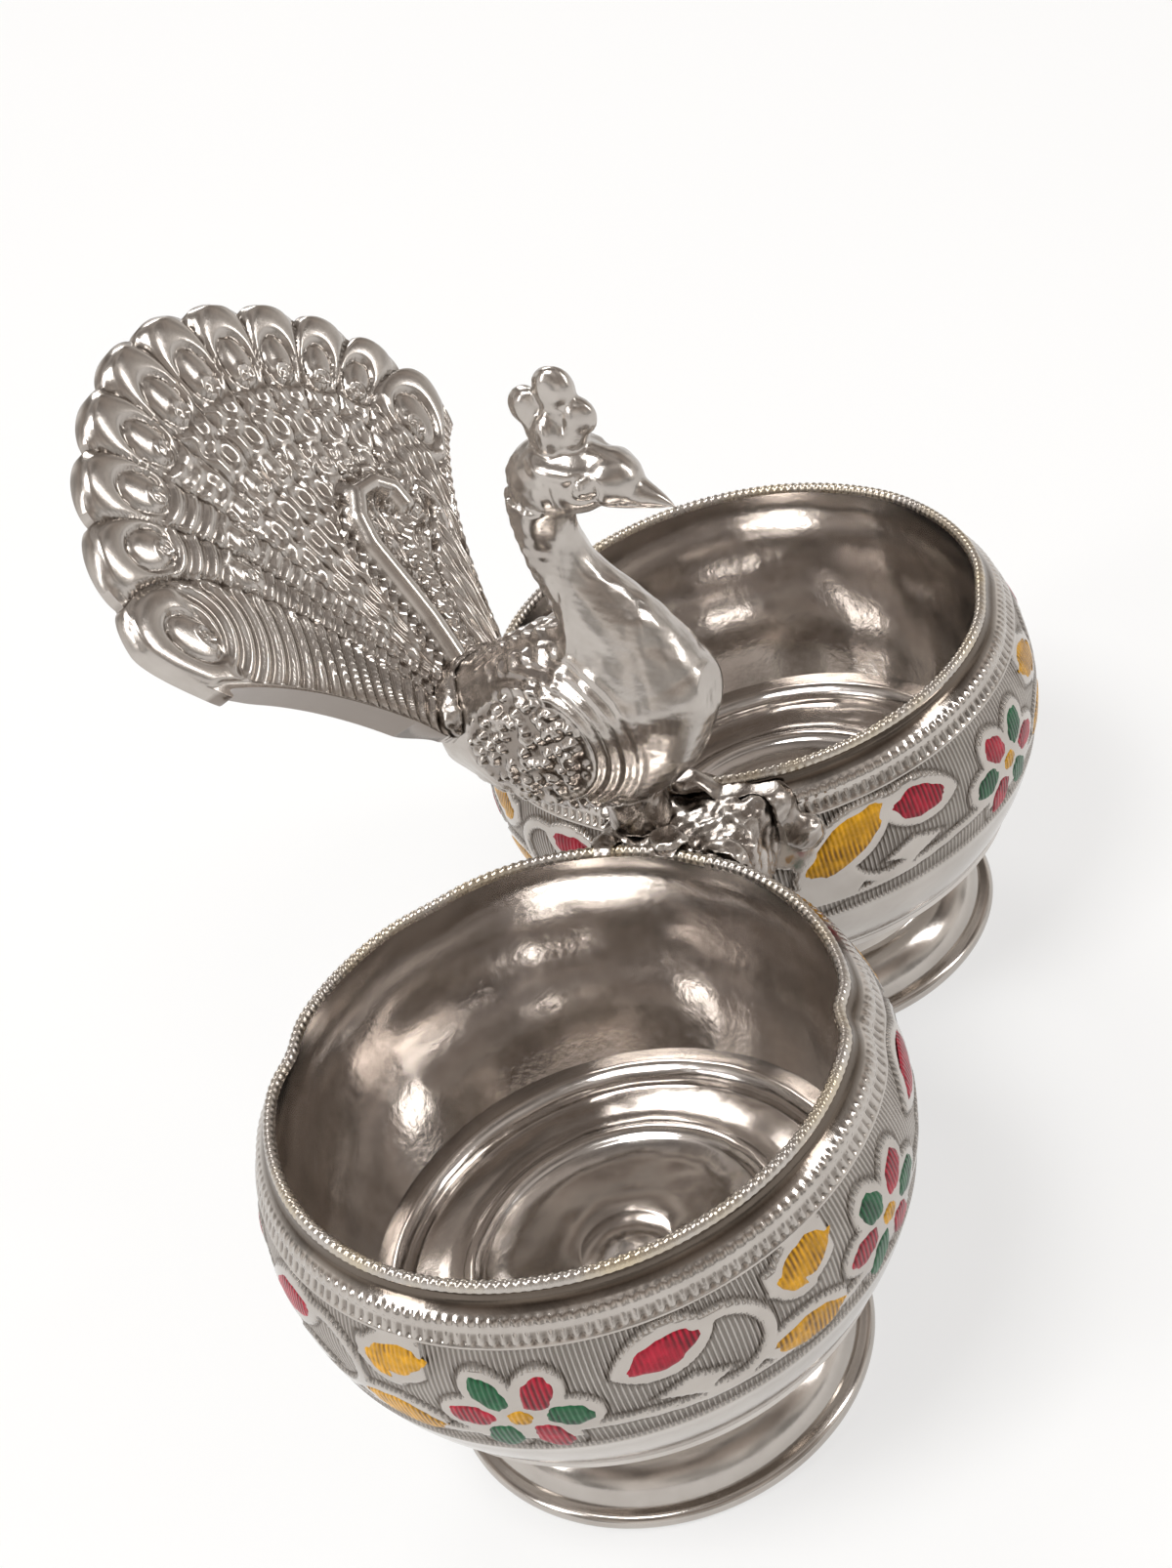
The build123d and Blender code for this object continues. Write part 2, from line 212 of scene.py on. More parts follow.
def move_vertices(piece, places):
    flat = np.ascontiguousarray(places * MM, dtype=np.float32).reshape(-1)
    piece.data.vertices.foreach_set("co", flat)
    piece.data.update()


def vertex_normals(piece):
    flat = np.empty(len(piece.data.vertices) * 3, dtype=np.float32)
    piece.data.vertices.foreach_get("normal", flat)
    return flat.reshape(-1, 3).astype(np.float64)


def mark(piece, name, values):
    """Stores one number per vertex for the materials to read."""
    layer = piece.data.attributes.new(name, "FLOAT", "POINT")
    layer.data.foreach_set("value", np.ascontiguousarray(values, dtype=np.float32))


def new_mesh(name, places, edges=(), faces=()):
    mesh = bpy.data.meshes.new(name)
    mesh.from_pydata([tuple(p) for p in np.asarray(places) * MM], list(edges), list(faces))
    piece = bpy.data.objects.new(name, mesh)
    bpy.context.scene.collection.objects.link(piece)
    return piece


def finish_piece(piece, material, slot, *nodes):
    piece.data.materials.clear()
    piece.data.materials.append(material)
    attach(piece, "root")
    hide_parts(*nodes)


def smooth_shade(piece, angle=60):
    activate(piece)
    bpy.ops.object.shade_smooth_by_angle(angle=radians(angle))


def spin_profile(name, profile, steps):
    """Spins a closed outline of (radius, height), in millimetres, about the Z axis."""
    points = [(r, 0.0, z) for r, z in profile]
    count = len(points)
    piece = new_mesh(name, points, edges=[(i, (i + 1) % count) for i in range(count)])
    activate(piece)
    bpy.ops.object.modifier_add(type="SCREW")
    spin = piece.modifiers[-1]
    spin.angle = 2 * pi
    spin.axis = "Z"
    spin.steps = steps
    spin.render_steps = steps
    spin.use_merge_vertices = True
    spin.merge_threshold = 2e-6
    bpy.ops.object.modifier_apply(modifier=spin.name)
    tidy_normals(piece)
    return piece


def tidy_normals(piece):
    activate(piece)
    bpy.ops.object.mode_set(mode="EDIT")
    bpy.ops.mesh.select_all(action="SELECT")
    bpy.ops.mesh.remove_doubles(threshold=2e-6)
    bpy.ops.mesh.normals_make_consistent(inside=False)
    bpy.ops.object.mode_set(mode="OBJECT")


def arc(start, end, bulge, count):
    """Points of an arc from start to end that bows by bulge to the left of the run."""
    start, end = np.array(start, float), np.array(end, float)
    chord = end - start
    length = np.linalg.norm(chord)
    side = np.array([-chord[1], chord[0]]) / length
    radius = (length * length / 4 + bulge * bulge) / (2 * abs(bulge))
    half = acos(max(-1.0, min(1.0, (radius - abs(bulge)) / radius)))
    turns = np.linspace(-half, half, count)
    along = radius * np.sin(turns)
    rise = radius * (np.cos(turns) - cos(half)) * np.sign(bulge)
    middle = (start + end) / 2
    unit = chord / length
    return [tuple(middle + unit * a + side * b) for a, b in zip(along, rise)]


def smoothstep(low, high, x):
    t = np.clip((x - low) / (high - low), 0, 1)
    return t * t * (3 - 2 * t)


def fade(low, high, x):
    return 1 - smoothstep(low, high, x)


def hump(x, middle, width):
    return np.exp(-((x - middle) / width) ** 2)


def dome(x):
    """A round back over -1 to 1, and 0 outside it."""
    return np.sqrt(np.clip(1 - x ** 2, 0, 1))


def wave(phase):
    """A sine wave from 0 to 1."""
    return 0.5 + 0.5 * np.sin(phase)


def turned(x, y, angle):
    c, s = cos(angle), sin(angle)
    return x * c - y * s, x * s + y * c


def ripple(places, scale, seed):
    """Slow soft noise between about -1 and 1, from a few crossed waves."""
    total = np.zeros(len(places))
    rng = np.random.default_rng(seed)
    for octave in range(5):
        direction = rng.normal(size=3)
        direction /= np.linalg.norm(direction)
        frequency = 2 * pi / scale * (0.6 + 0.35 * octave)
        total += np.sin(places @ direction * frequency + rng.uniform(0, 2 * pi)) / (1 + 0.5 * octave)
    return total / 2.4


def scatter(column, row, seed):
    """A repeatable number from 0 to 1 for each square of a grid."""
    value = np.sin(column * 127.1 + row * 311.7 + seed) * 4375.85
    return value - np.floor(value)


def pebbles(x, y, seed):
    """Distance to the nearest of many scattered pebbles, one to each unit square."""
    best = np.full(x.shape, 9.0)
    for column in (-1, 0, 1):
        for row in (-1, 0, 1):
            square_x = np.floor(x) + column
            square_y = np.floor(y) + row
            away_x = square_x + scatter(square_x, square_y, seed) - x
            away_y = square_y + scatter(square_y, square_x, seed + 5.0) - y
            best = np.minimum(best, np.hypot(away_x, away_y))
    return best


# Shape of the bowl wall


def wall_radius(height):
    """Outside radius of the wall at a height, from its three arcs."""
    height = np.asarray(height, float)
    rise = RIM_HEIGHT - BELLY_HEIGHT
    fall = BELLY_RADIUS - RIM_RADIUS
    upper = (rise * rise + fall * fall) / (2 * fall)
    drop = BELLY_HEIGHT - SHOULDER_HEIGHT
    tuck = BELLY_RADIUS - SHOULDER_RADIUS
    lower = (drop * drop + tuck * tuck) / (2 * tuck)
    above = BELLY_RADIUS - upper + np.sqrt(np.maximum(upper ** 2 - (height - BELLY_HEIGHT) ** 2, 0))
    below = BELLY_RADIUS - lower + np.sqrt(np.maximum(lower ** 2 - (BELLY_HEIGHT - height) ** 2, 0))
    slope = drop / (lower - tuck)
    depth = SHOULDER_HEIGHT - height
    reach = SHOULDER_HEIGHT - EDGE_HEIGHT
    bend = (SHOULDER_RADIUS - EDGE_RADIUS - slope * reach) / reach ** 2
    foot = SHOULDER_RADIUS - slope * depth - bend * depth ** 2
    return np.where(height >= BELLY_HEIGHT, above, np.where(height >= SHOULDER_HEIGHT, below, foot))


def kink(theta, places):
    """Small dents in the rim: theta in degrees, places as (angle, depth, half width)."""
    total = np.zeros_like(theta)
    for angle, depth, width in places:
        away = (theta - angle + 180) % 360 - 180
        total += depth * hump(away, 0, width)
    return total


# Heights of the rows stamped in the wall, in millimetres
FIELD_LOW, BORDER_TOP, FIELD_HIGH = 20.9, 22.4, 31.75
LINE_HEIGHTS = (32.1, 20.7)
BEAD_HEIGHT, BEAD_HALF_HEIGHT = 33.75, 0.46
COVE_HEIGHT = 34.9
REPEAT_ANGLE = 360 / REPEATS
DENTS_END = 28.5

RIM_DENTS = {
    # angle in degrees, depth and half width of each dent
    "left": (
        (95.4, 0.62, 6.5), (-76.0, 0.70, 5.0), (46.4, 0.30, 7.0),
        (-14.1, 0.25, 7.0), (23.5, -0.12, 9.0),
    ),
    "right": ((160.0, 0.30, 7.0), (-78.5, 0.25, 8.0), (-27.7, -0.12, 9.0)),
}


def ellipse_away(x, y, centre_x, centre_y, half_x, half_y, tilt=0):
    """Roughly how far outside an ellipse a point lies; negative inside."""
    u, v = turned(x - centre_x, y - centre_y, -radians(tilt))
    return (np.sqrt((u / half_x) ** 2 + (v / half_y) ** 2) - 1) * min(half_x, half_y)


def leaf_away(x, y, centre_x, centre_y, half_x, half_y, tilt=0):
    """The same for a leaf with two pointed ends."""
    u, v = turned(x - centre_x, y - centre_y, -radians(tilt))
    radius = (half_x ** 2 + half_y ** 2) / (2 * half_y)
    return np.sqrt(u ** 2 + (np.abs(v) + radius - half_y) ** 2) - radius


def petals():
    for number in range(6):
        turn = radians(60 * number)
        yield PETAL_REACH * cos(turn), FLOWER_HEIGHT + PETAL_RISE * sin(turn), 60 * number


def band_plates(x, y):
    """Distance to the smooth raised motifs of one repeat; negative on them."""
    away = ellipse_away(x, y, 0, FLOWER_HEIGHT, 2.6, 2.2)
    for px, py, tilt in petals():
        away = np.minimum(away, ellipse_away(x, y, px, py, 2.5, 1.95, tilt))
    bx, by, bl, bw, tilt, _ = BUD
    away = np.minimum(away, leaf_away(x, y, bx, by, bl + 1.3, bw + 0.8, tilt))
    for lx, ly, ll, lw, tilt, _ in (LOW_LEAF, HIGH_LEAF, HIGH_LEAF_TIP):
        away = np.minimum(away, leaf_away(x, y, lx, ly, ll + 1.1, lw + 0.75, tilt))
    sx, sy, radius = SCROLL
    ring = np.abs(np.hypot((x - sx) / 1.08, y - sy) - radius) - 0.45
    ring = np.maximum(ring, 1.4 - np.hypot(x - sx + 3.8, y - sy + 1.0))
    away = np.minimum(away, ring)
    dx, dy, dl, dh = DIAMOND
    away = np.minimum(away, (np.abs(x - dx) / dl + np.abs(y - dy) / dh - 1) * dh)
    vine = 23.15 + 0.55 * np.sin(x / (REPEAT_ANGLE * DEGREE) * 2 * pi + 0.8)
    away = np.minimum(away, np.abs(y - vine) - 0.42)
    return away


def wall_relief(side, theta, height):
    """Relief of the wall in millimetres, how much of it is matt hatched ground, and the painted shade of
    its outlines, cove and dashes.
    """
    from_flower = (theta - FIRST_FLOWER[side]) * RUNS[side]
    x = ((from_flower + 14) % REPEAT_ANGLE - 14) * DEGREE
    away = np.minimum(band_plates(x, height), band_plates(x - REPEAT_ANGLE * DEGREE, height))
    for _, (lx, ly, half_x, half_y, tilt, _) in OWN_LEAVES[side]:
        along = (from_flower + 180) % 360 - 180
        own = leaf_away(along * DEGREE, height, lx, ly, half_x + 1.0, half_y + 0.7, tilt)
        away = np.minimum(away, own)
    plate = fade(-0.08, 0.12, away)
    outline = hump(away, 0.22, 0.16)
    above_edge = smoothstep(FIELD_LOW, FIELD_LOW + 0.2, height)
    field = above_edge * fade(FIELD_HIGH, FIELD_HIGH + 0.2, height)
    border = above_edge * fade(BORDER_TOP, BORDER_TOP + 0.15, height)
    ground = np.maximum(field * (1 - plate), border * 0.9)
    depth = sizes().wall_relief / MM
    relief = -depth * ground - 0.10 * outline * field
    phase = theta / 360 * sizes().beads * 2 * pi
    bead_row = dome((height - BEAD_HEIGHT) / BEAD_HALF_HEIGHT)
    relief += 0.22 * bead_row * (0.35 + 0.65 * np.abs(np.sin(phase / 2)))
    dash_row = smoothstep(32.28, 32.38, height) * fade(33.0, 33.1, height)
    relief += 0.14 * dash_row * smoothstep(-0.25, 0.25, np.sin(phase)) - 0.10 * dash_row
    lines = sum(hump(height, middle, 0.12) for middle in LINE_HEIGHTS)
    relief += 0.07 * lines
    relief -= 0.24 * hump(height, COVE_HEIGHT, 0.45)
    relief += 0.10 * hump(height, EDGE_HEIGHT, 0.35)
    # Painted shade along the motif outlines, in the cove under the rim wire and between the dashes.
    under_wire = smoothstep(34.3, 34.5, height)
    shade = np.maximum(0.9 * outline * field, 0.95 * under_wire + 0.6 * dash_row * (np.sin(phase) < 0))
    return relief, ground, np.clip(shade, 0, 1)


WALL_ROWS = (
    # from height, to height, rows between them
    (14.2, 15.0, 4),
    (15.0, 20.4, 8),
    (20.4, 23.9, 17),
    (23.9, 31.7, 32),
    (31.7, 34.4, 22),
    (34.4, 35.7, 5),
)


def wall_outline():
    heights = []
    for low, high, rows in WALL_ROWS:
        heights += list(np.linspace(low, high, rows, endpoint=False))
    heights.append(RIM_HEIGHT)
    outside = [(float(wall_radius(h)), h) for h in heights]
    inner_heights = np.linspace(RIM_HEIGHT, EDGE_HEIGHT, 14)
    inside = [(float(wall_radius(h)) - SHEET, h) for h in inner_heights]
    return outside + inside


def turn_and_radius(places):
    return np.degrees(np.arctan2(places[:, 1], places[:, 0])), np.hypot(places[:, 0], places[:, 1])


def set_radius(places, theta, radius):
    places[:, 0] = radius * np.cos(np.radians(theta))
    places[:, 1] = radius * np.sin(np.radians(theta))


def dent_rim(side, theta, radius, height):
    """Rim dents fade out towards the belly."""
    near_rim = smoothstep(DENTS_END, RIM_HEIGHT, height)
    return radius - kink(theta, RIM_DENTS[side]) * near_rim


# Materials


HATCH_SLANT = 1.2               # lean of the engraved lines, in radians for each metre of height
# GROOVE_SHADE is the colour of the painted shade in the wall's grooves, outlines and cove.
GROOVE_SHADE = (0.26, 0.225, 0.195)
SHOW_THROUGH = (0.28, 0.24, 0.24)
BRASSY = (0.62, 0.52, 0.36)


class Shader:
    """One material and short ways to add its nodes."""

    def __init__(self, name):
        self.material = bpy.data.materials.new(name)
        self.material.use_nodes = True
        self.tree = self.material.node_tree
        self.surface = self.tree.nodes["Principled BSDF"]

    def node(self, kind, **settings):
        made = self.tree.nodes.new(kind)
        for key, value in settings.items():
            setattr(made, key, value)
        return made

    def link(self, output, target):
        self.tree.links.new(output, target)

    def give(self, socket, output):
        """Links an output to one of the surface's own sockets."""
        self.link(output, self.surface.inputs[socket])

    def colour_so_far(self):
        return self.surface.inputs["Base Color"].links[0].from_socket

    def math(self, operation, first, second=None):
        made = self.node("ShaderNodeMath", operation=operation)
        for slot, value in enumerate((first, second)):
            if value is None:
                continue
            if isinstance(value, (int, float)):
                made.inputs[slot].default_value = value
            else:
                self.link(value, made.inputs[slot])
        return made.outputs[0]

    def places(self):
        return self.node("ShaderNodeTexCoord").outputs["Object"]

    def noise(self, scale, detail=3.0, roughness=0.5, vector=None):
        made = self.node("ShaderNodeTexNoise")
        made.inputs["Scale"].default_value = scale
        made.inputs["Detail"].default_value = detail
        made.inputs["Roughness"].default_value = roughness
        self.link(vector or self.places(), made.inputs["Vector"])
        return made.outputs["Fac"]

    def ramp(self, factor, low, high, start=(0, 0, 0), end=(1, 1, 1)):
        made = self.node("ShaderNodeValToRGB")
        made.color_ramp.elements[0].position = low
        made.color_ramp.elements[1].position = high
        made.color_ramp.elements[0].color = (*start, 1)
        made.color_ramp.elements[1].color = (*end, 1)
        self.link(factor, made.inputs["Fac"])
        return made.outputs["Color"]

    def spread(self, factor, low, high):
        """A factor from 0 to 1 turned into a range."""
        made = self.node("ShaderNodeMapRange")
        made.inputs["To Min"].default_value = low
        made.inputs["To Max"].default_value = high
        self.link(factor, made.inputs["Value"])
        return made.outputs["Result"]

    def attribute(self, name):
        return self.node("ShaderNodeAttribute", attribute_name=name).outputs["Fac"]

    def mix(self, blend, factor, first, second):
        """A mixed colour; second is a node's output or a plain colour."""
        made = self.node("ShaderNodeMix", data_type="RGBA", blend_type=blend)
        self.link(factor, made.inputs["Factor"])
        self.link(first, made.inputs["A"])
        if isinstance(second, tuple):
            made.inputs["B"].default_value = (*second, 1)
        else:
            self.link(second, made.inputs["B"])
        return made.outputs["Result"]

    def bump(self, height, strength, distance, below=None):
        made = self.node("ShaderNodeBump")
        made.inputs["Strength"].default_value = strength
        made.inputs["Distance"].default_value = distance
        self.link(height, made.inputs["Height"])
        if below is not None:
            self.link(below, made.inputs["Normal"])
        return made.outputs["Normal"]

    def inside_painted_light(self):
        """Painted light on the inside: the metal colour made brighter, and a little warmer in noisy patches
        of painted reflection.
        """
        metal = tuple(colours().metal)
        high = (metal[0] * 1.22, metal[1] * 1.24, metal[2] * 1.27)
        low = (metal[0] * 1.02, metal[1] * 1.02, metal[2] * 1.03)
        return self.ramp(self.noise(150.0, 3.0), 0.32, 0.68, low, high)

    def hatch(self, side):
        """Engraved lines that run up the wall of one bowl, from its own axis."""
        mapping = self.node("ShaderNodeMapping")
        centre = BOWLS[side] * MM
        mapping.inputs["Location"].default_value = (-centre[0], -centre[1], 0)
        self.link(self.places(), mapping.inputs["Vector"])
        split = self.node("ShaderNodeSeparateXYZ")
        self.link(mapping.outputs["Vector"], split.inputs["Vector"])
        angle = self.math("ARCTAN2", split.outputs["Y"], split.outputs["X"])
        lean = self.math("MULTIPLY", split.outputs["Z"], HATCH_SLANT)
        phase = self.math("MULTIPLY", self.math("ADD", angle, lean), float(sizes().hatch_lines))
        wave = self.math("SINE", phase)
        return self.math("ADD", self.math("MULTIPLY", wave, 0.5), 0.5)


def metal_base(name, rough_low, rough_high, mottle=260.0):
    """Polished white metal: slow colour and roughness drift, fine rubbing marks."""
    shader = Shader(name)
    metal, dark = tuple(colours().metal), tuple(colours().hollow_shade_and_tone)
    warm = tuple(a * 0.80 + b * 0.20 for a, b in zip(metal, dark))
    shader.give("Base Color", shader.ramp(shader.noise(mottle, 4.0), 0.30, 0.70, warm, metal))
    shader.surface.inputs["Metallic"].default_value = 1.0
    rubbing = shader.noise(mottle * 5, 5.0, 0.65)
    shader.give("Roughness", shader.spread(rubbing, rough_low, rough_high))
    return shader


def polished(name, wave_scale, wave_depth, painted_light_inside):
    """Spun or pressed sheet with slow waves from the hammer and the buff."""
    shader = metal_base(name, 0.10, 0.22)
    # Painted light: the inside takes a brighter colour than the outside metal.
    if painted_light_inside:
        shader.give("Base Color", shader.inside_painted_light())
    slow = shader.bump(shader.noise(wave_scale, 2.0), wave_depth, 0.0012)
    shader.give("Normal", shader.bump(shader.noise(2600.0, 3.0), 0.10, 0.00005, slow))
    return shader.material


def stamped_wall(side):
    """Hatched matt ground between smooth motifs, painted shade in the grooves, along the outlines and under
    the wire, and painted light on the inside.
    """
    shader = metal_base(side + " stamped wall", 0.16, 0.30)
    ground = shader.attribute("ground")
    lines = shader.hatch(side)
    shaped = shader.bump(shader.math("MULTIPLY", lines, ground), 1.0, 0.00020)
    shader.give("Normal", shader.bump(shader.noise(1500.0, 4.0), 0.16, 0.0001, shaped))
    matt = shader.math("MULTIPLY", ground, 0.22)
    rough = shader.math("ADD", shader.spread(shader.noise(900.0), 0.09, 0.19), matt)
    shader.give("Roughness", rough)
    # Painted shade in the engraved grooves, and from the hollow mark along the outlines, in the cove under
    # the wire and between the dashes.
    groove = shader.math("MULTIPLY", shader.math("SUBTRACT", 1.0, lines), ground)
    groove = shader.math("MULTIPLY", groove, 0.70)
    groove = shader.math("MAXIMUM", groove, shader.attribute("hollow"))
    # Painted light: the inside of the wall takes the brighter inside colour.
    inside = shader.attribute("inside")
    sheet = shader.mix("MIX", inside, shader.colour_so_far(), shader.inside_painted_light())
    shader.give("Base Color", shader.mix("MULTIPLY", groove, sheet, GROOVE_SHADE))
    return shader.material


def cast(name, rough_low, rough_high, pits):
    """Cast metal: polished on the high places, pitted, and darker in the low ones with painted shade."""
    shader = metal_base(name, rough_low, rough_high, 420.0)
    # Painted shade: the colour runs towards the hollow shade colour where the hollow mark is high.
    low = shader.attribute("hollow")
    shaded = shader.mix("MIX", low, shader.colour_so_far(), tuple(colours().hollow_shade_and_tone))
    shader.give("Base Color", shaded)
    shader.give("Normal", shader.bump(shader.noise(1900.0, 5.0, 0.6), pits, 0.00012))
    return shader.material


def milled_wire():
    """Wire with a matt milled edge and a brassy cast where the plating has worn."""
    shader = metal_base("Milled wire", 0.20, 0.36, 700.0)
    worn = shader.ramp(shader.noise(160.0), 0.45, 0.75)
    shader.give("Base Color", shader.mix("MIX", worn, shader.colour_so_far(), BRASSY))
    shader.give("Normal", shader.bump(shader.noise(3000.0), 0.2, 0.00008))
    return shader.material


def enamel(side, colour_name):
    """Hand-painted enamel: glossy, thinner over the engraved lines, streaky."""
    shader = Shader(side + " " + colour_name + " enamel")
    colour = np.array(getattr(colours(), colour_name))
    thick, thin = tuple(colour * 0.55), tuple(np.minimum(colour * 1.15, 1))
    body = shader.ramp(shader.noise(900.0, 5.0, 0.6), 0.30, 0.72, thick, thin)
    lines = shader.hatch(side)
    patchy = shader.ramp(shader.noise(420.0, 2.0), 0.42, 0.58)
    show = shader.math("MULTIPLY", shader.math("SUBTRACT", 1.0, lines), patchy)
    shader.give("Base Color", shader.mix("MULTIPLY", show, body, SHOW_THROUGH))
    shader.surface.inputs["Roughness"].default_value = 0.32
    shader.surface.inputs["Specular IOR Level"].default_value = 0.28
    shader.surface.inputs["Coat Weight"].default_value = 0.16
    shader.surface.inputs["Coat Roughness"].default_value = 0.12
    brushed = shader.bump(lines, 0.7, 0.00010)
    shader.give("Normal", shader.bump(shader.noise(1300.0, 3.0), 0.3, 0.0001, brushed))
    return shader.material


def studio_floor():
    """Pale floor that keeps the shadow, evened out towards white where it is seen."""
    shader = Shader("Studio floor")
    tone = shader.noise(6.0, 2.0)
    floor = tuple(colours().floor)
    darker = tuple(c * 0.985 for c in floor)
    shader.give("Base Color", shader.ramp(tone, 0.3, 0.7, darker, floor))
    shader.surface.inputs["Roughness"].default_value = 0.85
    path = shader.node("ShaderNodeLightPath")
    seen = shader.math("MAXIMUM", path.outputs["Is Camera Ray"], path.outputs["Is Glossy Ray"])
    seen = shader.math("MAXIMUM", seen, path.outputs["Is Transmission Ray"])
    white = shader.node("ShaderNodeEmission")
    white.inputs["Strength"].default_value = 1.0
    mix = shader.node("ShaderNodeMixShader")
    shader.link(shader.math("MULTIPLY", seen, 0.62), mix.inputs["Fac"])
    shader.link(shader.surface.outputs["BSDF"], mix.inputs[1])
    shader.link(white.outputs["Emission"], mix.inputs[2])
    shader.link(mix.outputs["Shader"], shader.tree.nodes["Material Output"].inputs["Surface"])
    return shader.material


# Camera and stage

CAMERA_PLACE = (-0.14112, -0.07950, 0.15845)
CAMERA_AIM = (0.70337, 0.39327, -0.59212)
CAMERA_ROLL = radians(-18.33)
FOCAL_PIXELS = 2458.0
PHOTO_HEIGHT = 1606.0
SENSOR = 36.0


def add_camera():
    bpy.ops.object.camera_add(location=CAMERA_PLACE)
    camera = bpy.context.object
    forward = Vector(CAMERA_AIM).normalized()
    right = forward.cross(Vector((0, 0, 1))).normalized()
    up = right.cross(forward)
    tilted_right = right * cos(CAMERA_ROLL) + up * sin(CAMERA_ROLL)
    tilted_up = up * cos(CAMERA_ROLL) - right * sin(CAMERA_ROLL)
    turn = Matrix((tilted_right, tilted_up, -forward)).transposed()
    camera.rotation_euler = turn.to_euler()
    camera.data.sensor_width = SENSOR
    camera.data.lens = FOCAL_PIXELS / PHOTO_HEIGHT * SENSOR
    camera.data.clip_start = 0.001
    bpy.context.scene.camera = camera


LAMPS = (
    # name, place, size, power in watts
    ("Key", (-0.26, 0.10, 0.62), (0.26, 0.20), 2.5),
    ("Window", (-0.50, 0.46, 0.40), (0.14, 0.40), 1.5),
    ("Front", (0.14, -0.62, 0.42), (0.10, 0.36), 1.1),
    ("Back", (0.50, 0.30, 0.44), (0.26, 0.16), 1.3),
)


def add_lamps():
    for name, place, size, power in LAMPS:
        bpy.ops.object.light_add(type="AREA", location=place)
        lamp = bpy.context.object
        lamp.name = name
        lamp.data.shape = "RECTANGLE"
        lamp.data.size, lamp.data.size_y = size
        lamp.data.energy = power
        aim = Vector((0, 0, 0.03)) - Vector(place)
        lamp.rotation_euler = aim.to_track_quat("-Z", "Y").to_euler()


# The room that the metal mirrors: position by height of the ray, and its colour
ROOM = (
    (0.00, (0.66, 0.64, 0.62)),
    (0.30, (0.56, 0.53, 0.50)),
    (0.44, (0.38, 0.335, 0.305)),
    (0.64, (0.25, 0.215, 0.19)),
    (0.80, (0.52, 0.485, 0.46)),
    (1.00, (0.24, 0.21, 0.19)),
)


def add_world():
    """A pale room below, and a dim warm ceiling above for the metal to mirror."""
    world = bpy.data.worlds.new("Studio")
    bpy.context.scene.world = world
    world.use_nodes = True
    tree = world.node_tree
    background = tree.nodes["Background"]
    place = tree.nodes.new("ShaderNodeTexCoord")
    split = tree.nodes.new("ShaderNodeSeparateXYZ")
    ramp = tree.nodes.new("ShaderNodeValToRGB")
    tree.links.new(place.outputs["Generated"], split.inputs["Vector"])
    tree.links.new(split.outputs["Z"], ramp.inputs["Fac"])
    stops = ramp.color_ramp.elements
    for number, (position, colour) in enumerate(ROOM):
        stop = stops[number] if number < 2 else stops.new(position)
        stop.position = position
        stop.color = (*colour, 1)
    patches = tree.nodes.new("ShaderNodeTexNoise")
    patches.inputs["Scale"].default_value = 2.6
    patches.inputs["Detail"].default_value = 1.0
    tree.links.new(place.outputs["Generated"], patches.inputs["Vector"])
    level = tree.nodes.new("ShaderNodeMapRange")
    level.inputs["From Min"].default_value = 0.36
    level.inputs["From Max"].default_value = 0.64
    level.inputs["To Min"].default_value = 0.50
    level.inputs["To Max"].default_value = 1.55
    tree.links.new(patches.outputs["Fac"], level.inputs["Value"])
    tree.links.new(ramp.outputs["Color"], background.inputs["Color"])
    tree.links.new(level.outputs["Result"], background.inputs["Strength"])


def add_floor():
    bpy.ops.mesh.primitive_grid_add(x_subdivisions=8, y_subdivisions=8, size=6)
    floor = bpy.context.object
    floor.name = "studio_floor"
    floor.data.materials.append(studio_floor())


class HOLDER_OT_stage(bpy.types.Operator):
    """Sets the camera, the lamps, the world and the studio floor"""

    bl_idname = "holder.stage"
    bl_label = "Stage"

    def execute(self, context):
        deselect()
        context.scene.view_settings.view_transform = "Standard"
        add_camera()
        add_lamps()
        add_world()
        add_floor()
        return {"FINISHED"}


# Bowls


def build_wall(side):
    piece = spin_profile(side + "_wall", wall_outline(), 960)
    places = vertices(piece)
    theta, radius = turn_and_radius(places)
    height = places[:, 2]
    outside = radius > wall_radius(height) - SHEET / 2
    relief, ground, shade = wall_relief(side, theta, height)
    turned = np.stack([24 * np.radians(theta), 0.35 * height, np.zeros_like(theta)], axis=1)
    dints = 0.11 * ripple(places * np.array([1, 1, 0.5]), 17.0, 3) + 0.035 * ripple(turned, 6.0, 4)
    radius = radius + np.where(outside, relief, dints * smoothstep(0, 2.5, RIM_HEIGHT - height))
    radius = dent_rim(side, theta, radius, height)
    set_radius(places, theta, radius)
    mark(piece, "ground", np.where(outside, ground, 0))
    # The hollow mark carries the painted shade of the outside, and the inside mark the painted light of the
    # inside.
    mark(piece, "hollow", np.where(outside, shade, 0))
    mark(piece, "inside", np.where(outside, 0, 1))
    move_vertices(piece, places + BOWLS[side])
    smooth_shade(piece, 70)
    finish_piece(piece, stamped_wall(side), "stamped_white_metal", side + "_bowl_wall")


class HOLDER_OT_walls(bpy.types.Operator):
    """Makes the two bowl walls with their bead rows, hatched ground and raised motifs"""

    bl_idname = "holder.walls"
    bl_label = "Bowl walls"

    def execute(self, context):
        for side in SIDES:
            build_wall(side)
        return {"FINISHED"}


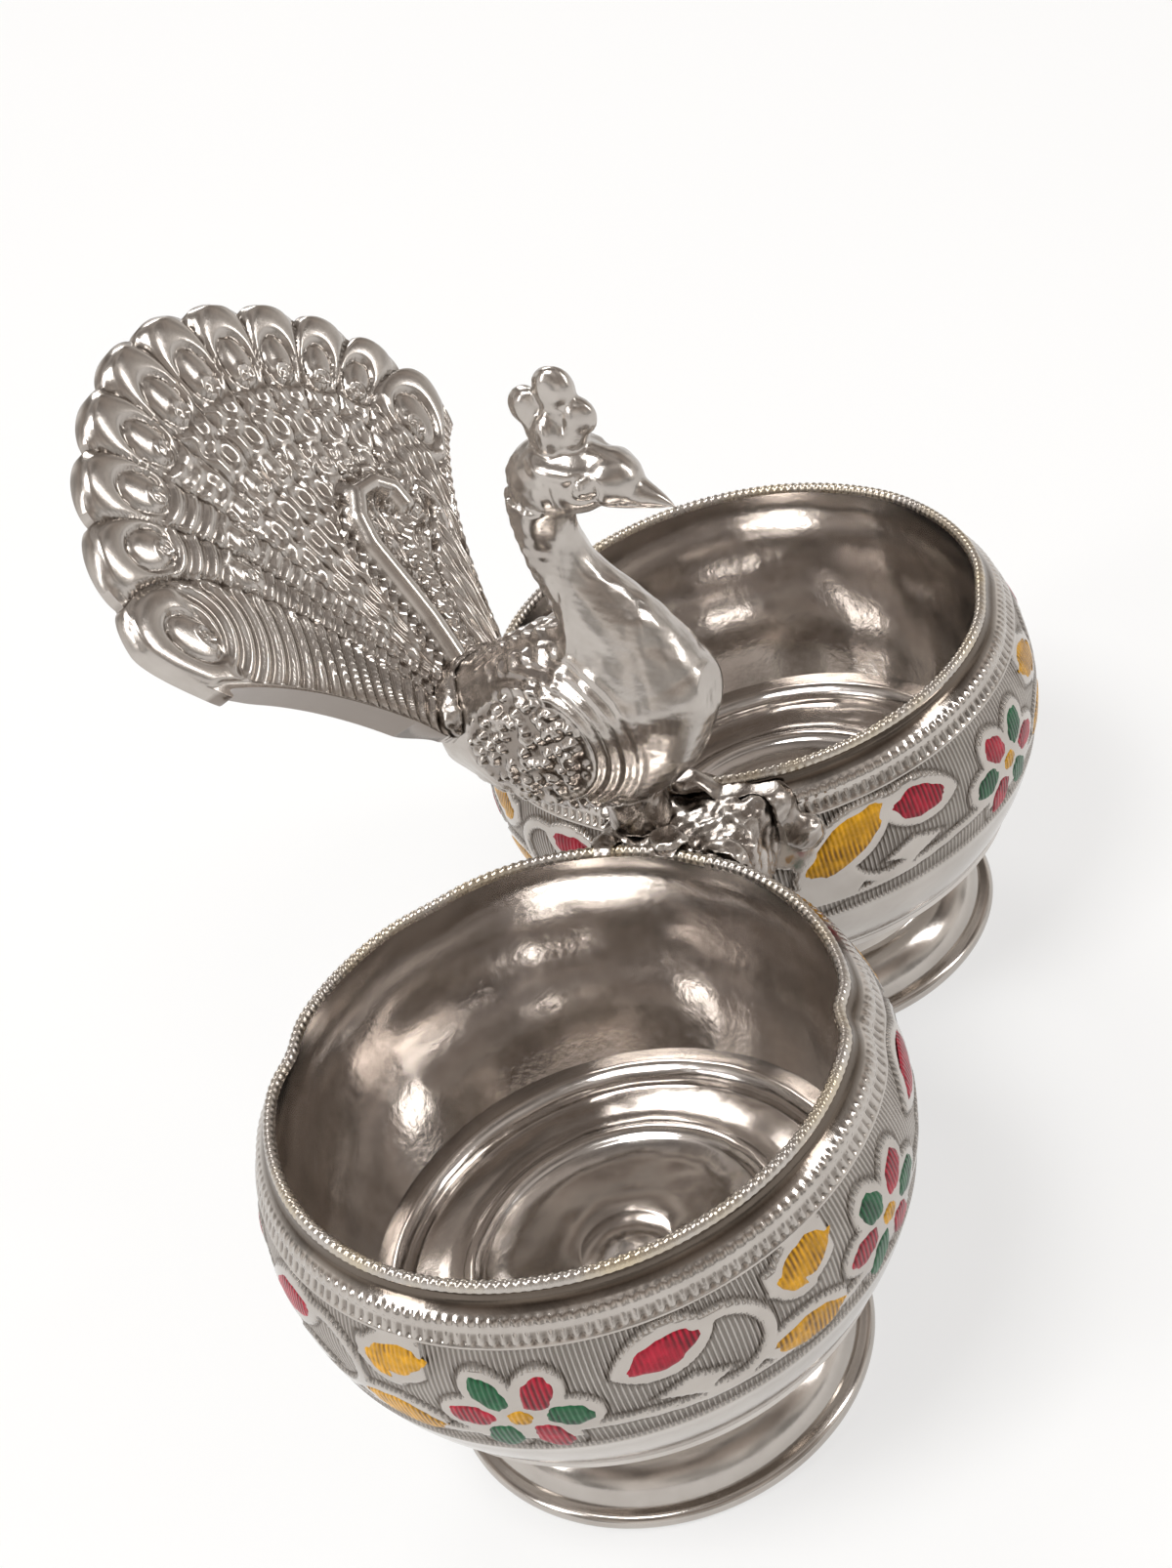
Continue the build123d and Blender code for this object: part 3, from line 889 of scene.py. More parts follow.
def build_wire(side, material):
    ring = RIM_RADIUS - SHEET / 2
    turns = np.linspace(0, pi, 9)
    crown = [(ring + WIRE_HALF_WIDTH * cos(t), RIM_HEIGHT + WIRE_HEIGHT * sin(t)) for t in turns]
    piece = spin_profile(side + "_wire", crown + [(ring, RIM_HEIGHT - 0.02)], 1200)
    places = vertices(piece)
    theta, radius = turn_and_radius(places)
    lift = np.clip((places[:, 2] - RIM_HEIGHT) / WIRE_HEIGHT, 0, 1)
    slant = (radius - ring) * 3.0
    rib = np.sin(np.radians(theta) * sizes().wire_ribs + slant)
    places[:, 2] -= 0.13 * (0.5 - 0.5 * rib) * lift
    places[:, 2] -= 0.10 * lift * (0.5 + 0.5 * ripple(places, 30.0, 11))
    radius = ring + (radius - ring) * (1 - 0.10 * (0.5 - 0.5 * rib))
    radius = dent_rim(side, theta, radius, np.maximum(places[:, 2], RIM_HEIGHT))
    set_radius(places, theta, radius)
    move_vertices(piece, places + BOWLS[side])
    smooth_shade(piece, 60)
    finish_piece(piece, material, "milled_wire", side + "_rim_wire")


class HOLDER_OT_wires(bpy.types.Operator):
    """Makes the milled wires along the rims"""

    bl_idname = "holder.wires"
    bl_label = "Rim wires"

    def execute(self, context):
        material = milled_wire()
        for side in SIDES:
            build_wire(side, material)
        return {"FINISHED"}


def floor_outline():
    top = [(EDGE_RADIUS, EDGE_HEIGHT), (STEP_OUTER + 0.3, EDGE_HEIGHT)]
    top += arc((STEP_OUTER, EDGE_HEIGHT), (STEP_INNER, FLOOR_TOP), -0.35, 10)
    top += [(17.2, FLOOR_TOP), (15.6, FLOOR_TOP)]
    ring_ends = (RING_MIDDLE + RING_HALF_WIDTH, RING_MIDDLE - RING_HALF_WIDTH)
    top += arc((ring_ends[0], FLOOR_TOP), (ring_ends[1], FLOOR_TOP), -0.5, 10)
    top += [(9.5, FLOOR_TOP), (6.5, FLOOR_TOP)]
    top += arc((DOME_RADIUS, FLOOR_TOP), (AXIS_GAP, FLOOR_TOP + DOME_HEIGHT), -0.32, 10)
    flange = EDGE_HEIGHT - SHEET
    under = [(AXIS_GAP, NECK_TOP), (9.0, NECK_TOP), (STEP_INNER + SHEET, NECK_TOP)]
    return top + under + [(STEP_OUTER + 0.3, flange), (EDGE_RADIUS, flange)]


def build_floor(side, material):
    piece = spin_profile(side + "_floor", floor_outline(), 180)
    places = vertices(piece)
    places[:, 2] += 0.03 * ripple(places, 9.0, 5) * (places[:, 2] > FLOOR_TOP - 0.1)
    move_vertices(piece, places + BOWLS[side])
    smooth_shade(piece, 50)
    finish_piece(piece, material, "polished_white_metal", side + "_bowl_floor")


class HOLDER_OT_floors(bpy.types.Operator):
    """Makes the pressed floors with their step, ring and centre dome"""

    bl_idname = "holder.floors"
    bl_label = "Bowl floors"

    def execute(self, context):
        # True gives the floors the painted light of the inside.
        material = polished("Pressed floor", 120.0, 0.35, True)
        for side in SIDES:
            build_floor(side, material)
        return {"FINISHED"}


def foot_outline():
    outer = [(AXIS_GAP, NECK_TOP), (8.0, NECK_TOP)]
    outer += arc((WAIST_RADIUS, NECK_TOP), (13.9, 5.5), 0.12, 9)
    outer += arc((13.95, 5.4), (17.1, 1.6), 0.75, 12)
    lip = FOOT_RADIUS - LIP_RADIUS
    turns = np.linspace(pi / 2, -pi / 2, 12)
    outer += [(lip + LIP_RADIUS * cos(t), LIP_RADIUS + LIP_RADIUS * sin(t)) for t in turns]
    inner = [(FOOT_RADIUS - 1.9, 0.0)]
    inner += arc((FOOT_RADIUS - 2.0, 0.5), (13.2, 5.6), -0.7, 10)
    ceiling = NECK_TOP - FOOT_SHEET
    return outer + inner + [(WAIST_RADIUS - FOOT_SHEET, ceiling), (AXIS_GAP, ceiling)]


def build_foot(side, material):
    piece = spin_profile(side + "_spun_foot", foot_outline(), 200)
    places = vertices(piece)
    theta, radius = turn_and_radius(places)
    sway = 0.05 * np.sin(np.radians(theta) * 3 + 0.7) * (radius > 12) * (places[:, 2] > 1.6)
    set_radius(places, theta, radius + sway)
    move_vertices(piece, places + BOWLS[side])
    smooth_shade(piece, 50)
    finish_piece(piece, material, "polished_white_metal", side + "_foot")


def build_foot_solder(side, material):
    fillet = [(WAIST_RADIUS - 0.25, NECK_TOP), (WAIST_RADIUS + 1.15, NECK_TOP)]
    fillet += arc((WAIST_RADIUS + 0.9, NECK_TOP - 0.12), (WAIST_RADIUS - 0.1, NECK_TOP - 0.95), 0.2, 6)
    piece = spin_profile(side + "_foot_fillet", fillet, 160)
    places = vertices(piece)
    places[:, 2] += 0.06 * ripple(places, 3.0, 8) * (places[:, 2] < NECK_TOP - 0.1)
    move_vertices(piece, places + BOWLS[side])
    smooth_shade(piece, 50)
    # An even darkening of the whole fillet towards the hollow shade colour.
    mark(piece, "hollow", np.full(len(places), 0.35))
    finish_piece(piece, material, "solder", side + "_foot_solder")


class HOLDER_OT_feet(bpy.types.Operator):
    """Makes the spun feet and the solder above them"""

    bl_idname = "holder.feet"
    bl_label = "Feet"

    def execute(self, context):
        metal = polished("Spun foot", 70.0, 0.22, False)
        solder = cast("Foot solder", 0.25, 0.42, 0.3)
        for side in SIDES:
            build_foot(side, metal)
            build_foot_solder(side, solder)
        return {"FINISHED"}


# Enamel


def painted_fields(colour_name):
    half = (PETAL_HALF_LENGTH, PETAL_HALF_WIDTH)
    flower = [(x, y, *half, tilt, False) for x, y, tilt in petals()]
    if colour_name == "red":
        return flower[1::2] + [BUD]
    if colour_name == "green":
        return flower[0::2]
    centre = (0.0, FLOWER_HEIGHT, 1.05, 0.85, 0, False)
    return [centre, LOW_LEAF, HIGH_LEAF, HIGH_LEAF_TIP]


def all_fields(side, colour_name):
    """Every painted field of one colour on one bowl, with the repeat that it belongs to."""
    fields = [(repeat, field) for repeat in range(REPEATS) for field in painted_fields(colour_name)]
    if colour_name == "yellow":
        fields += OWN_LEAVES[side]
    return fields


RINGS, SPOKES = 7, 36
# Waves round the edge of a painted field, and how deep each is as a share of its size
BRUSH_WOBBLE = ((2, 0.06), (5, 0.055), (9, 0.03), (13, 0.02))


def paint_patch(side, repeat, field, rng):
    """Vertices of one brushed field, thickest in the middle."""
    x, y, half_x, half_y, tilt, pointed = field
    turns = np.linspace(0, 2 * pi, SPOKES, endpoint=False)
    wobble = np.ones(SPOKES)
    for waves, depth in BRUSH_WOBBLE:
        wobble += depth * np.sin(waves * turns + rng.uniform(0, 6))
    half_y_here = half_y * (np.abs(np.sin(turns)) ** 0.45 if pointed else 1.0)
    places = []
    for ring in range(RINGS + 1):
        share = ring / RINGS
        u = half_x * np.cos(turns) * wobble * share
        v = half_y_here * np.sin(turns) * wobble * share
        across, rise = turned(u, v, radians(tilt))
        along = x + rng.uniform(-0.02, 0.02) + across
        height = y + rise
        start = radians(FIRST_FLOWER[side] + REPEAT_ANGLE * repeat * RUNS[side])
        theta = start + RUNS[side] * along / BELLY_RADIUS
        lift = -0.05 + 0.15 * sqrt(max(1 - share ** 6, 0))
        radius = wall_radius(height) + lift
        places.append(np.stack([radius * np.cos(theta), radius * np.sin(theta), height], axis=1))
    return np.concatenate(places)


def patch_faces(first):
    faces = []
    for ring in range(RINGS):
        for spoke in range(SPOKES):
            after = (spoke + 1) % SPOKES
            a = first + ring * SPOKES + spoke
            b = first + ring * SPOKES + after
            faces.append((a, a + SPOKES, b + SPOKES, b))
    faces.append(tuple(first + RINGS * SPOKES + spoke for spoke in reversed(range(SPOKES))))
    return faces


# The stretch between the bowls where the saddle covers the walls
COVERED_HALF_WIDTH, COVERED_FRONT, COVERED_BACK = 8.1, -12.5, 7.5


def hidden_by_saddle(places, side):
    x, y, _ = places.mean(axis=0) + BOWLS[side] - BOWL_LINE
    return abs(x) < COVERED_HALF_WIDTH and COVERED_FRONT < y < COVERED_BACK


def build_enamel(side, colour_name):
    rng = np.random.default_rng(len(colour_name) * 7 + len(side))
    places, faces = [], []
    count = 0
    for repeat, field in all_fields(side, colour_name):
        patch = paint_patch(side, repeat, field, rng)
        if hidden_by_saddle(patch, side):
            continue
        places.append(patch)
        faces += patch_faces(count)
        count += len(patch)
    piece = new_mesh(side + "_" + colour_name + "_paint", np.concatenate(places) + BOWLS[side], faces=faces)
    tidy_normals(piece)
    smooth_shade(piece, 70)
    node = side + "_" + colour_name + "_enamel"
    finish_piece(piece, enamel(side, colour_name), colour_name + "_enamel", node)


class HOLDER_OT_enamel(bpy.types.Operator):
    """Paints the petals, buds and leaves of both bands"""

    bl_idname = "holder.enamel"
    bl_label = "Enamel"

    def execute(self, context):
        for side in SIDES:
            for colour_name in ("red", "green", "yellow"):
                build_enamel(side, colour_name)
        return {"FINISHED"}


# Castings: a merged copy of the solid, remeshed finely and then worked


def cast_copy(name, node, voxel, passes, lobes=()):
    """A smooth fine-grained copy of a solid, with any lobes melted into it."""
    deselect()
    copy = bpy.data.objects.new(name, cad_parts[node].data.copy())
    bpy.context.scene.collection.objects.link(copy)
    joined = [*lobes, copy]
    for one in joined:
        one.select_set(True)
    piece = joined[0]
    bpy.context.view_layer.objects.active = piece
    if lobes:
        bpy.ops.object.join()
    piece.name = name
    piece.data.name = name
    bpy.ops.object.mode_set(mode="EDIT")
    bpy.ops.mesh.select_all(action="SELECT")
    bpy.ops.mesh.remove_doubles(threshold=1e-6)
    bpy.ops.object.mode_set(mode="OBJECT")
    piece.data.materials.clear()
    bpy.ops.object.modifier_add(type="REMESH")
    piece.modifiers[-1].mode = "VOXEL"
    piece.modifiers[-1].voxel_size = voxel
    bpy.ops.object.modifier_apply(modifier=piece.modifiers[-1].name)
    bpy.ops.object.modifier_add(type="SMOOTH")
    piece.modifiers[-1].factor = 0.5
    piece.modifiers[-1].iterations = passes
    bpy.ops.object.modifier_apply(modifier=piece.modifiers[-1].name)
    return piece


def to_bird(places):
    """Turns places into the peacock's own axes: across, along (tail is +) and up."""
    away = places - BIRD_PIVOT
    across, along = turned(away[:, 0], away[:, 1], -BIRD_TURN)
    return across, along, away[:, 2]


def from_bird(across, along, up):
    """The place in the object's frame of a point in the peacock's own axes."""
    return np.array([*turned(across, along, BIRD_TURN), up]) + BIRD_PIVOT


# Lobes that are cast onto the head: foot and end in the peacock's own axes, and radius
CREST_FOOT = (0.0, -4.2, 71.6)
LOBES = (
    (CREST_FOOT, (0.3, -5.2, 77.2), 1.45),
    (CREST_FOOT, (0.1, -2.8, 75.9), 1.32),
    (CREST_FOOT, (-0.2, -6.5, 75.1), 1.25),
    (CREST_FOOT, (1.1, -4.3, 75.0), 1.40),
    (CREST_FOOT, (-1.1, -4.4, 75.2), 1.32),
    ((0.0, -4.4, 70.9), (0.0, -8.6, 70.0), 2.35),
    ((0.0, -3.8, 72.4), (0.0, -7.9, 71.2), 1.60),
)


def cast_lobe(foot, end, radius):
    """One drop-like lobe between two places on the peacock."""
    start = Vector(from_bird(*foot)) * MM
    run = Vector(from_bird(*end)) * MM - start
    length = run.length + radius * MM * 0.75
    deselect()
    bpy.ops.mesh.primitive_uv_sphere_add(segments=24, ring_count=16, radius=1)
    lobe = bpy.context.object
    turn = run.to_track_quat("Z", "Y").to_matrix().to_4x4()
    size = Matrix.Diagonal((radius * MM, radius * MM, length / 2, 1))
    middle = start + run.normalized() * length / 2
    lobe.data.transform(Matrix.Translation(middle) @ turn @ size)
    return lobe


# The wing: its middle and half sizes in the peacock's own axes, and its lean
WING_ALONG, WING_UP = 3.8, 47.0
WING_HALF_LENGTH, WING_HALF_HEIGHT = 7.2, 5.4
WING_LEAN = radians(-24)
WING_FOLDS = (
    # distance from the middle as a share, width, height
    (1.02, 0.055, 1.0),
    (1.19, 0.05, 0.8),
    (1.36, 0.05, 0.6),
    (1.53, 0.05, 0.4),
)
EYE_ALONG, EYE_UP = -7.0, 70.7


def wing_relief(across, along, up):
    """The nubby wing with the smooth folds round its front, and the painted shade between its nubs."""
    u, v = turned(along - WING_ALONG, up - WING_UP, -WING_LEAN)
    wing = np.sqrt((u / WING_HALF_LENGTH) ** 2 + (v / WING_HALF_HEIGHT) ** 2)
    side_on = smoothstep(1.2, 2.6, np.abs(across))
    inside = fade(0.84, 0.94, wing) * side_on
    nub = fade(0.15, 0.62, pebbles(u / 1.25 + np.sign(across) * 40, v / 1.0, 3.0))
    front = smoothstep(-0.2, 0.5, -u / WING_HALF_LENGTH) + smoothstep(0.0, 0.6, -v / WING_HALF_HEIGHT)
    folds = sum(height * hump(wing, place, width) for place, width, height in WING_FOLDS)
    relief = inside * (0.42 * nub - 0.12) + 0.34 * folds * side_on * np.clip(front, 0, 1)
    return relief, inside * (0.75 - 0.75 * nub)


def head_relief(across, along, up):
    """Eye, brow, cheek, the heavy beak and its mouth."""
    on_head = smoothstep(1.6, 2.4, np.abs(across))
    eye = np.hypot(along - EYE_ALONG, up - EYE_UP)
    relief = on_head * (0.38 * hump(eye, 0, 0.6) - 0.24 * hump(eye, 1.0, 0.25))
    brow = hump(up, 72.1 + 0.25 * (along + 5.0), 0.5) * smoothstep(-9.5, -7, along)
    relief += 0.38 * brow * fade(-3.4, -2.0, along) * smoothstep(0.8, 2.0, np.abs(across))
    cheek = hump(along, -4.2, 0.5) * smoothstep(67.6, 69.0, up) * fade(71.0, 72.0, up)
    relief -= 0.28 * cheek * on_head
    beak = smoothstep(7.2, 8.6, -along) * fade(11.6, 13.3, -along)
    relief += 0.22 * beak
    mouth_height = 68.7 + 0.33 * (along + 10.0)
    mouth = hump(up, mouth_height, 0.17) * fade(-8.2, -7.2, along)
    return relief - 0.22 * mouth * smoothstep(0.2, 0.6, np.abs(across))


def bird_relief(places):
    """All relief of the peacock in millimetres, and the painted shade in its hollows."""
    across, along, up = to_bird(places)
    relief, hollow = wing_relief(across, along, up)
    back = smoothstep(51.0, 53.0, up) * smoothstep(-1.0, 0.8, along) * fade(11.5, 13, along)
    back *= fade(57.0, 59.0, up)
    row = wave(np.abs(across) * 3.0 - 0.5)
    rope = row * (0.6 + 0.4 * np.sin(along * 4.6 + 2.2 * np.abs(across)))
    relief += 0.34 * back * rope
    nape = smoothstep(56.0, 60.0, up) * fade(71.5, 73.0, up) * smoothstep(-2.8, -0.6, along)
    strand = np.sin(across * 5.0 + 0.7 * np.sin(up * 1.1)) * (0.6 + 0.4 * np.sin(up * 5.0 + across * 3.0))
    relief += 0.10 * nape * strand
    crest = smoothstep(72.8, 73.8, up)
    relief += 0.05 * crest * np.sin(across * 4 + along * 3)
    belly = fade(41.0, 42.5, up) * smoothstep(-3, 0, along) * fade(11, 13, along)
    bead = fade(0.2, 0.6, pebbles(along / 1.1, up / 1.1 + 30, 9.0))
    relief += 0.22 * belly * bead * smoothstep(1.0, 2.2, np.abs(across))
    relief += head_relief(across, along, up)
    slim = smoothstep(51.0, 57.0, up) * fade(64.5, 71.0, up)
    front = fade(-3.0, 1.5, along + 0.35 * (up - 62.0))
    relief -= slim * (0.35 + 0.65 * front)
    ridge_along = -2.6 + 0.30 * (62.0 - up)
    ridge = hump(along, ridge_along, 0.55) * smoothstep(48, 51, up) * fade(63, 66, up)
    relief += 0.22 * ridge
    relief += 0.05 * ripple(places, 3.4, 31) + 0.03 * ripple(places, 1.3, 32)
    # Painted shade between the back's rope ridges, the nape's strands and the belly's beads.
    hollow += back * (0.6 - 0.6 * rope) + 0.25 * nape * (strand < 0) + 0.4 * belly * (1 - bead)
    return relief, np.clip(hollow, 0, 0.8)


class HOLDER_OT_peacock(bpy.types.Operator):
    """Makes the cast peacock with its wings, nape, crest and eyes"""

    bl_idname = "holder.peacock"
    bl_label = "Peacock"

    def execute(self, context):
        lobes = [cast_lobe(*lobe) for lobe in LOBES]
        piece = cast_copy("cast_peacock", "peacock", sizes().cast_voxel, 7, lobes)
        places = vertices(piece)
        relief, hollow = bird_relief(places)
        move_vertices(piece, places + vertex_normals(piece) * relief[:, None])
        # The hollow mark carries the painted shade.
        mark(piece, "hollow", hollow)
        smooth_shade(piece, 80)
        finish_piece(piece, cast("Cast peacock", 0.15, 0.30, 0.16), "cast_white_metal", "peacock")
        return {"FINISHED"}


# A bright drop of solder stands on the joint beside the right rim
DROP = BOWL_LINE + np.array([3.6, -2.1, 0.0])
DROP_RISE = 1.8
SOLDER_VOXEL = 0.00022
CASTINGS = (
    # piece, node, slot, unevenness, seed, lowest and highest place, smoothing passes, swell
    ("cast_saddle", "saddle", "cast_white_metal", 0.20, 41, 29.5, 36.4, 10, 0.0),
    ("cast_peg", "peacock_peg", "cast_white_metal", 0.10, 43, 35.9, 41.0, 10, 0.0),
    ("left_solder", "left_saddle_solder", "solder", 0.12, 47, 27.0, 37.2, 20, -0.35),
    ("right_solder", "right_saddle_solder", "solder", 0.07, 48, 27.0, 35.7, 40, -0.45),
    ("rump_solder", "tail_solder", "solder", 0.10, 53, 40.0, 54.0, 10, 0.0),
)


def lumpy_casting(name, node, slot, material, uneven, seed, low, high, passes, swell):
    """A cast or soldered piece with an uneven skin that stays between two heights."""
    piece = cast_copy(name, node, SOLDER_VOXEL, passes)
    places = vertices(piece)
    bumps = ripple(places, 2.6, seed) + 0.5 * ripple(places, 1.1, seed + 1)
    pebble = pebbles(places[:, 0] / 1.6, places[:, 1] / 1.3 + places[:, 2], seed)
    pits = fade(0.1, 0.5, pebble)
    moved = places + vertex_normals(piece) * (swell + uneven * (bumps - 0.6 * pits))[:, None]
    from_drop = np.hypot(moved[:, 0] - DROP[0], moved[:, 1] - DROP[1])
    top = high + DROP_RISE * fade(0.8, 3.2, from_drop)
    over = np.maximum(moved[:, 2] - top, 0)
    moved[:, 2] = np.maximum(moved[:, 2] - 0.85 * over, low)
    move_vertices(piece, moved)
    # Painted shade in the dips and pits, over an even darkening of the whole piece.
    mark(piece, "hollow", np.clip(0.35 - 0.5 * bumps + 0.3 * pits, 0, 0.8))
    smooth_shade(piece, 80)
    finish_piece(piece, material, slot, node)


class HOLDER_OT_joints(bpy.types.Operator):
    """Makes the saddle, the peg and the solder that join the bowls, the peacock and the tail"""

    bl_idname = "holder.joints"
    bl_label = "Joints"

    def execute(self, context):
        metals = {
            "cast_white_metal": cast("Cast saddle", 0.16, 0.34, 0.26),
            "solder": cast("Solder", 0.14, 0.34, 0.24),
        }
        for name, node, slot, *shape in CASTINGS:
            lumpy_casting(name, node, slot, metals[slot], *shape)
        return {"FINISHED"}


# Tail fan


def fan_outline_point(share):
    """Outer end of the line of the fan at a share from -1 to 1 across it."""
    away = np.abs(share)
    radius = FAN_RADIUS - FAN_SIDE_LOSS * away ** 1.6
    turn = share * FAN_HALF_ANGLE
    return np.stack([radius * np.sin(turn), radius * np.cos(turn) - FAN_CENTRE_DROP], axis=-1)


def side_bow(t):
    """How far the hollow side of the fan lies from a straight line, along it."""
    start = np.array([FAN_ROOT_HALF_WIDTH, 0.0])
    end = fan_outline_point(np.array(1.0))
    middle = (start + end) / 2
    bow = FAN_SIDE_MIDDLE - middle
    return bow * (4 * t * (1 - t))[..., None]


def fan_surface(share, t):
    """Place in the fan's plane for a share across and t from root (0) to feather tips (1)."""
    root = np.stack([FAN_ROOT_HALF_WIDTH * share, -3.0 * (1 - share ** 2)], axis=-1)
    tip = fan_outline_point(share)
    line = root + (tip - root) * t[..., None]
    bow = side_bow(t) * (np.abs(share) ** 1.4)[..., None]
    bow[..., 0] *= np.sign(share)
    return line + bow


FEATHER_SWEEP = 0.52
HEAD_FROM_TIP, HEAD_HALF_LENGTH = 5.3, 2.2
SECOND_FROM_TIP, SECOND_HALF_LENGTH = 15.0, 1.7
NOTCH_PITCH = 1.1
NO_SECOND_EYE = 9.0             # pushes the second eye off the first feather
FEATHER_WIDTHS = (0.27, 0.215, 0.19, 0.175, 0.17, 0.165, 0.16, 0.16, 0.16, 0.165, 0.17)
FEATHER_EDGES = np.concatenate([[-1.0], -1.0 + np.cumsum(FEATHER_WIDTHS)])


def feather_cells(share, t):
    """Which feather a place lies on, how far across it (-1 to 1) and its width as a share.

    The feathers leave the middle stem together and sweep outwards to their own ends."""
    sweep = FEATHER_SWEEP + (1 - FEATHER_SWEEP) * t ** 2.6
    number = np.zeros(share.shape)
    low = np.full(share.shape, -1.0)
    high = np.full(share.shape, 1.0)
    for edge in FEATHER_EDGES[1:-1]:
        border = edge * sweep
        past = share >= border
        number = number + past
        low = np.where(past, border, low)
        high = np.where(past | (border >= high), high, border)
    width = high - low
    return number, np.clip((share - low) / width * 2 - 1, -1, 1), width


def fish_scales(across, along):
    """Rows of small overlapping scales, each row set off by half a scale."""
    lean = along + 0.10 * np.sin(2 * pi * along)
    bump = 0.5 + 0.5 * np.cos(2 * pi * across) * np.cos(2 * pi * lean)
    return bump ** 0.8


def oval(distance):
    """A smooth dome inside 1, with an engraved line round it."""
    return 0.85 * dome(distance) - 0.42 * hump(distance, 1.06, 0.10)


def head_places():
    """Middle of each feather's head in the fan's plane."""
    t = 1 - HEAD_FROM_TIP / FAN_RADIUS
    sweep = FEATHER_SWEEP + (1 - FEATHER_SWEEP) * t ** 2.6
    borders = FEATHER_EDGES * sweep
    borders[0], borders[-1] = -1.0, 1.0
    middles = (borders[:-1] + borders[1:]) / 2
    return fan_surface(middles, np.full(middles.shape, t))


def heads_and_eyes(from_tip, across, half_width, nearest):
    """The two ovals with eyes on a feather: their relief, and the distance to each."""
    head_width = np.clip(1.75 / half_width, 0.3, 0.70)
    head = np.hypot((from_tip - HEAD_FROM_TIP) / HEAD_HALF_LENGTH, across / head_width)
    crescent = dome((head - 1.72) / 0.72) * fade(HEAD_FROM_TIP, HEAD_FROM_TIP + 2.4, from_tip)
    relief = 0.42 * crescent + 0.36 * oval(head)
    eye = np.hypot((from_tip - HEAD_FROM_TIP - 1.2), across * half_width)
    relief += 0.16 * hump(eye, 0.75, 0.17) - 0.14 * hump(eye, 0.42, 0.14) + 0.10 * hump(eye, 0.0, 0.2)
    second_width = np.clip(1.25 / half_width, 0.25, 0.70)
    off = NO_SECOND_EYE * nearest
    second = np.hypot((from_tip - SECOND_FROM_TIP) / SECOND_HALF_LENGTH, across / second_width) + off
    relief += 0.26 * oval(second) * np.minimum(half_width / 3.0, 1.3)
    second_eye = np.hypot(from_tip - SECOND_FROM_TIP - 0.5, across * half_width) + off
    relief += 0.14 * hump(second_eye, 0.55, 0.15) - 0.10 * hump(second_eye, 0.25, 0.14)
    return relief, head, second


def barbs(share, across, half_width, from_tip, from_head):
    """Curved barbs on the near feathers that turn into rows of scales on the far ones."""
    pitch = 1.45 - 0.25 * smoothstep(8, 30, from_tip)
    chevron = wave(from_head / pitch * 2 * pi) ** 1.3
    scales = fish_scales(across * half_width / 2.1, from_tip / 3.3)
    far = smoothstep(-0.35, -0.05, share) * smoothstep(7.0, 9.0, from_tip)
    return chevron * (1 - far) + scales * far, far


def feather_relief(share, t, length, flat):
    """Height of the stamped feathers, about 0 to 1, and the painted shade in the hollows."""
    number, across, width = feather_cells(share, t)
    from_head = np.linalg.norm(flat - head_places()[number.astype(int)], axis=1)
    half_width = np.maximum(width / 2 * FAN_HALF_ANGLE * (t * length + 2.0), 0.25)
    beside = np.abs(across)
    from_tip = (1 - t) * length
    relief = 0.52 * dome(beside / 1.04) * smoothstep(0.0, 2.6, half_width)
    ovals, head, second = heads_and_eyes(from_tip, across, half_width, number < 1)
    relief += ovals
    open_barbs = smoothstep(1.05, 1.3, head) * smoothstep(1.05, 1.3, second)
    open_barbs *= smoothstep(HEAD_FROM_TIP + 0.6, HEAD_FROM_TIP + 2.2, from_tip)
    barb, far = barbs(share, across, half_width, from_tip, from_head)
    relief += (0.30 + 0.10 * far) * open_barbs * (barb - 0.35)
    inner_side = (share > -0.5) | (across > 0)
    rope = hump(beside, 0.90, 0.11) * open_barbs * inner_side * (1 - far)
    relief += 0.16 * rope * (0.6 + 0.4 * np.sin(from_tip * 2 * pi / NOTCH_PITCH + number))
    groove = fade(0.0, 0.24, (1 - beside) * half_width) * (np.abs(share) < 0.95)
    relief -= 0.16 * groove
    # Painted shade in the barb valleys, the grooves between feathers and round the heads.
    hollow = open_barbs * (0.55 - 1.3 * barb) + 0.6 * groove + 0.45 * hump(head, 1.05, 0.10)
    edge = smoothstep(0.960, 0.972, np.abs(share))
    notches = np.where(share > 0, wave(from_tip * 2 * pi / NOTCH_PITCH), 0.2)
    relief = relief * (1 - edge) + edge * (0.42 + 0.16 * notches)
    relief *= 0.25 + 0.75 * smoothstep(0.0, 0.55, from_tip)
    # Painted shade on the folded near edge.
    flange = 0.75 * (share < -0.985)
    return relief, np.clip(hollow * (1 - edge) + flange, 0, 0.8)


# The curled plume in the fan's plane: its stem, the groove beside it and the second plume
STEM = (
    (0.7, 2.4), (1.4, 5.0), (2.0, 7.5), (2.5, 11.0), (3.0, 15.0),
    (4.0, 17.3), (5.7, 18.8), (7.8, 18.4), (8.9, 16.9), (8.7, 15.2),
)
GROOVE = ((-0.4, 3.0), (0.5, 6.0), (1.1, 9.0), (1.5, 12.0), (1.7, 15.5), (2.6, 18.2))
SECOND_PLUME = ((9.0, 14.2), (7.6, 12.6), (6.0, 10.6), (4.6, 7.8), (3.4, 5.0), (2.6, 2.6))
PLUME_EYE = (7.5, 12.5)


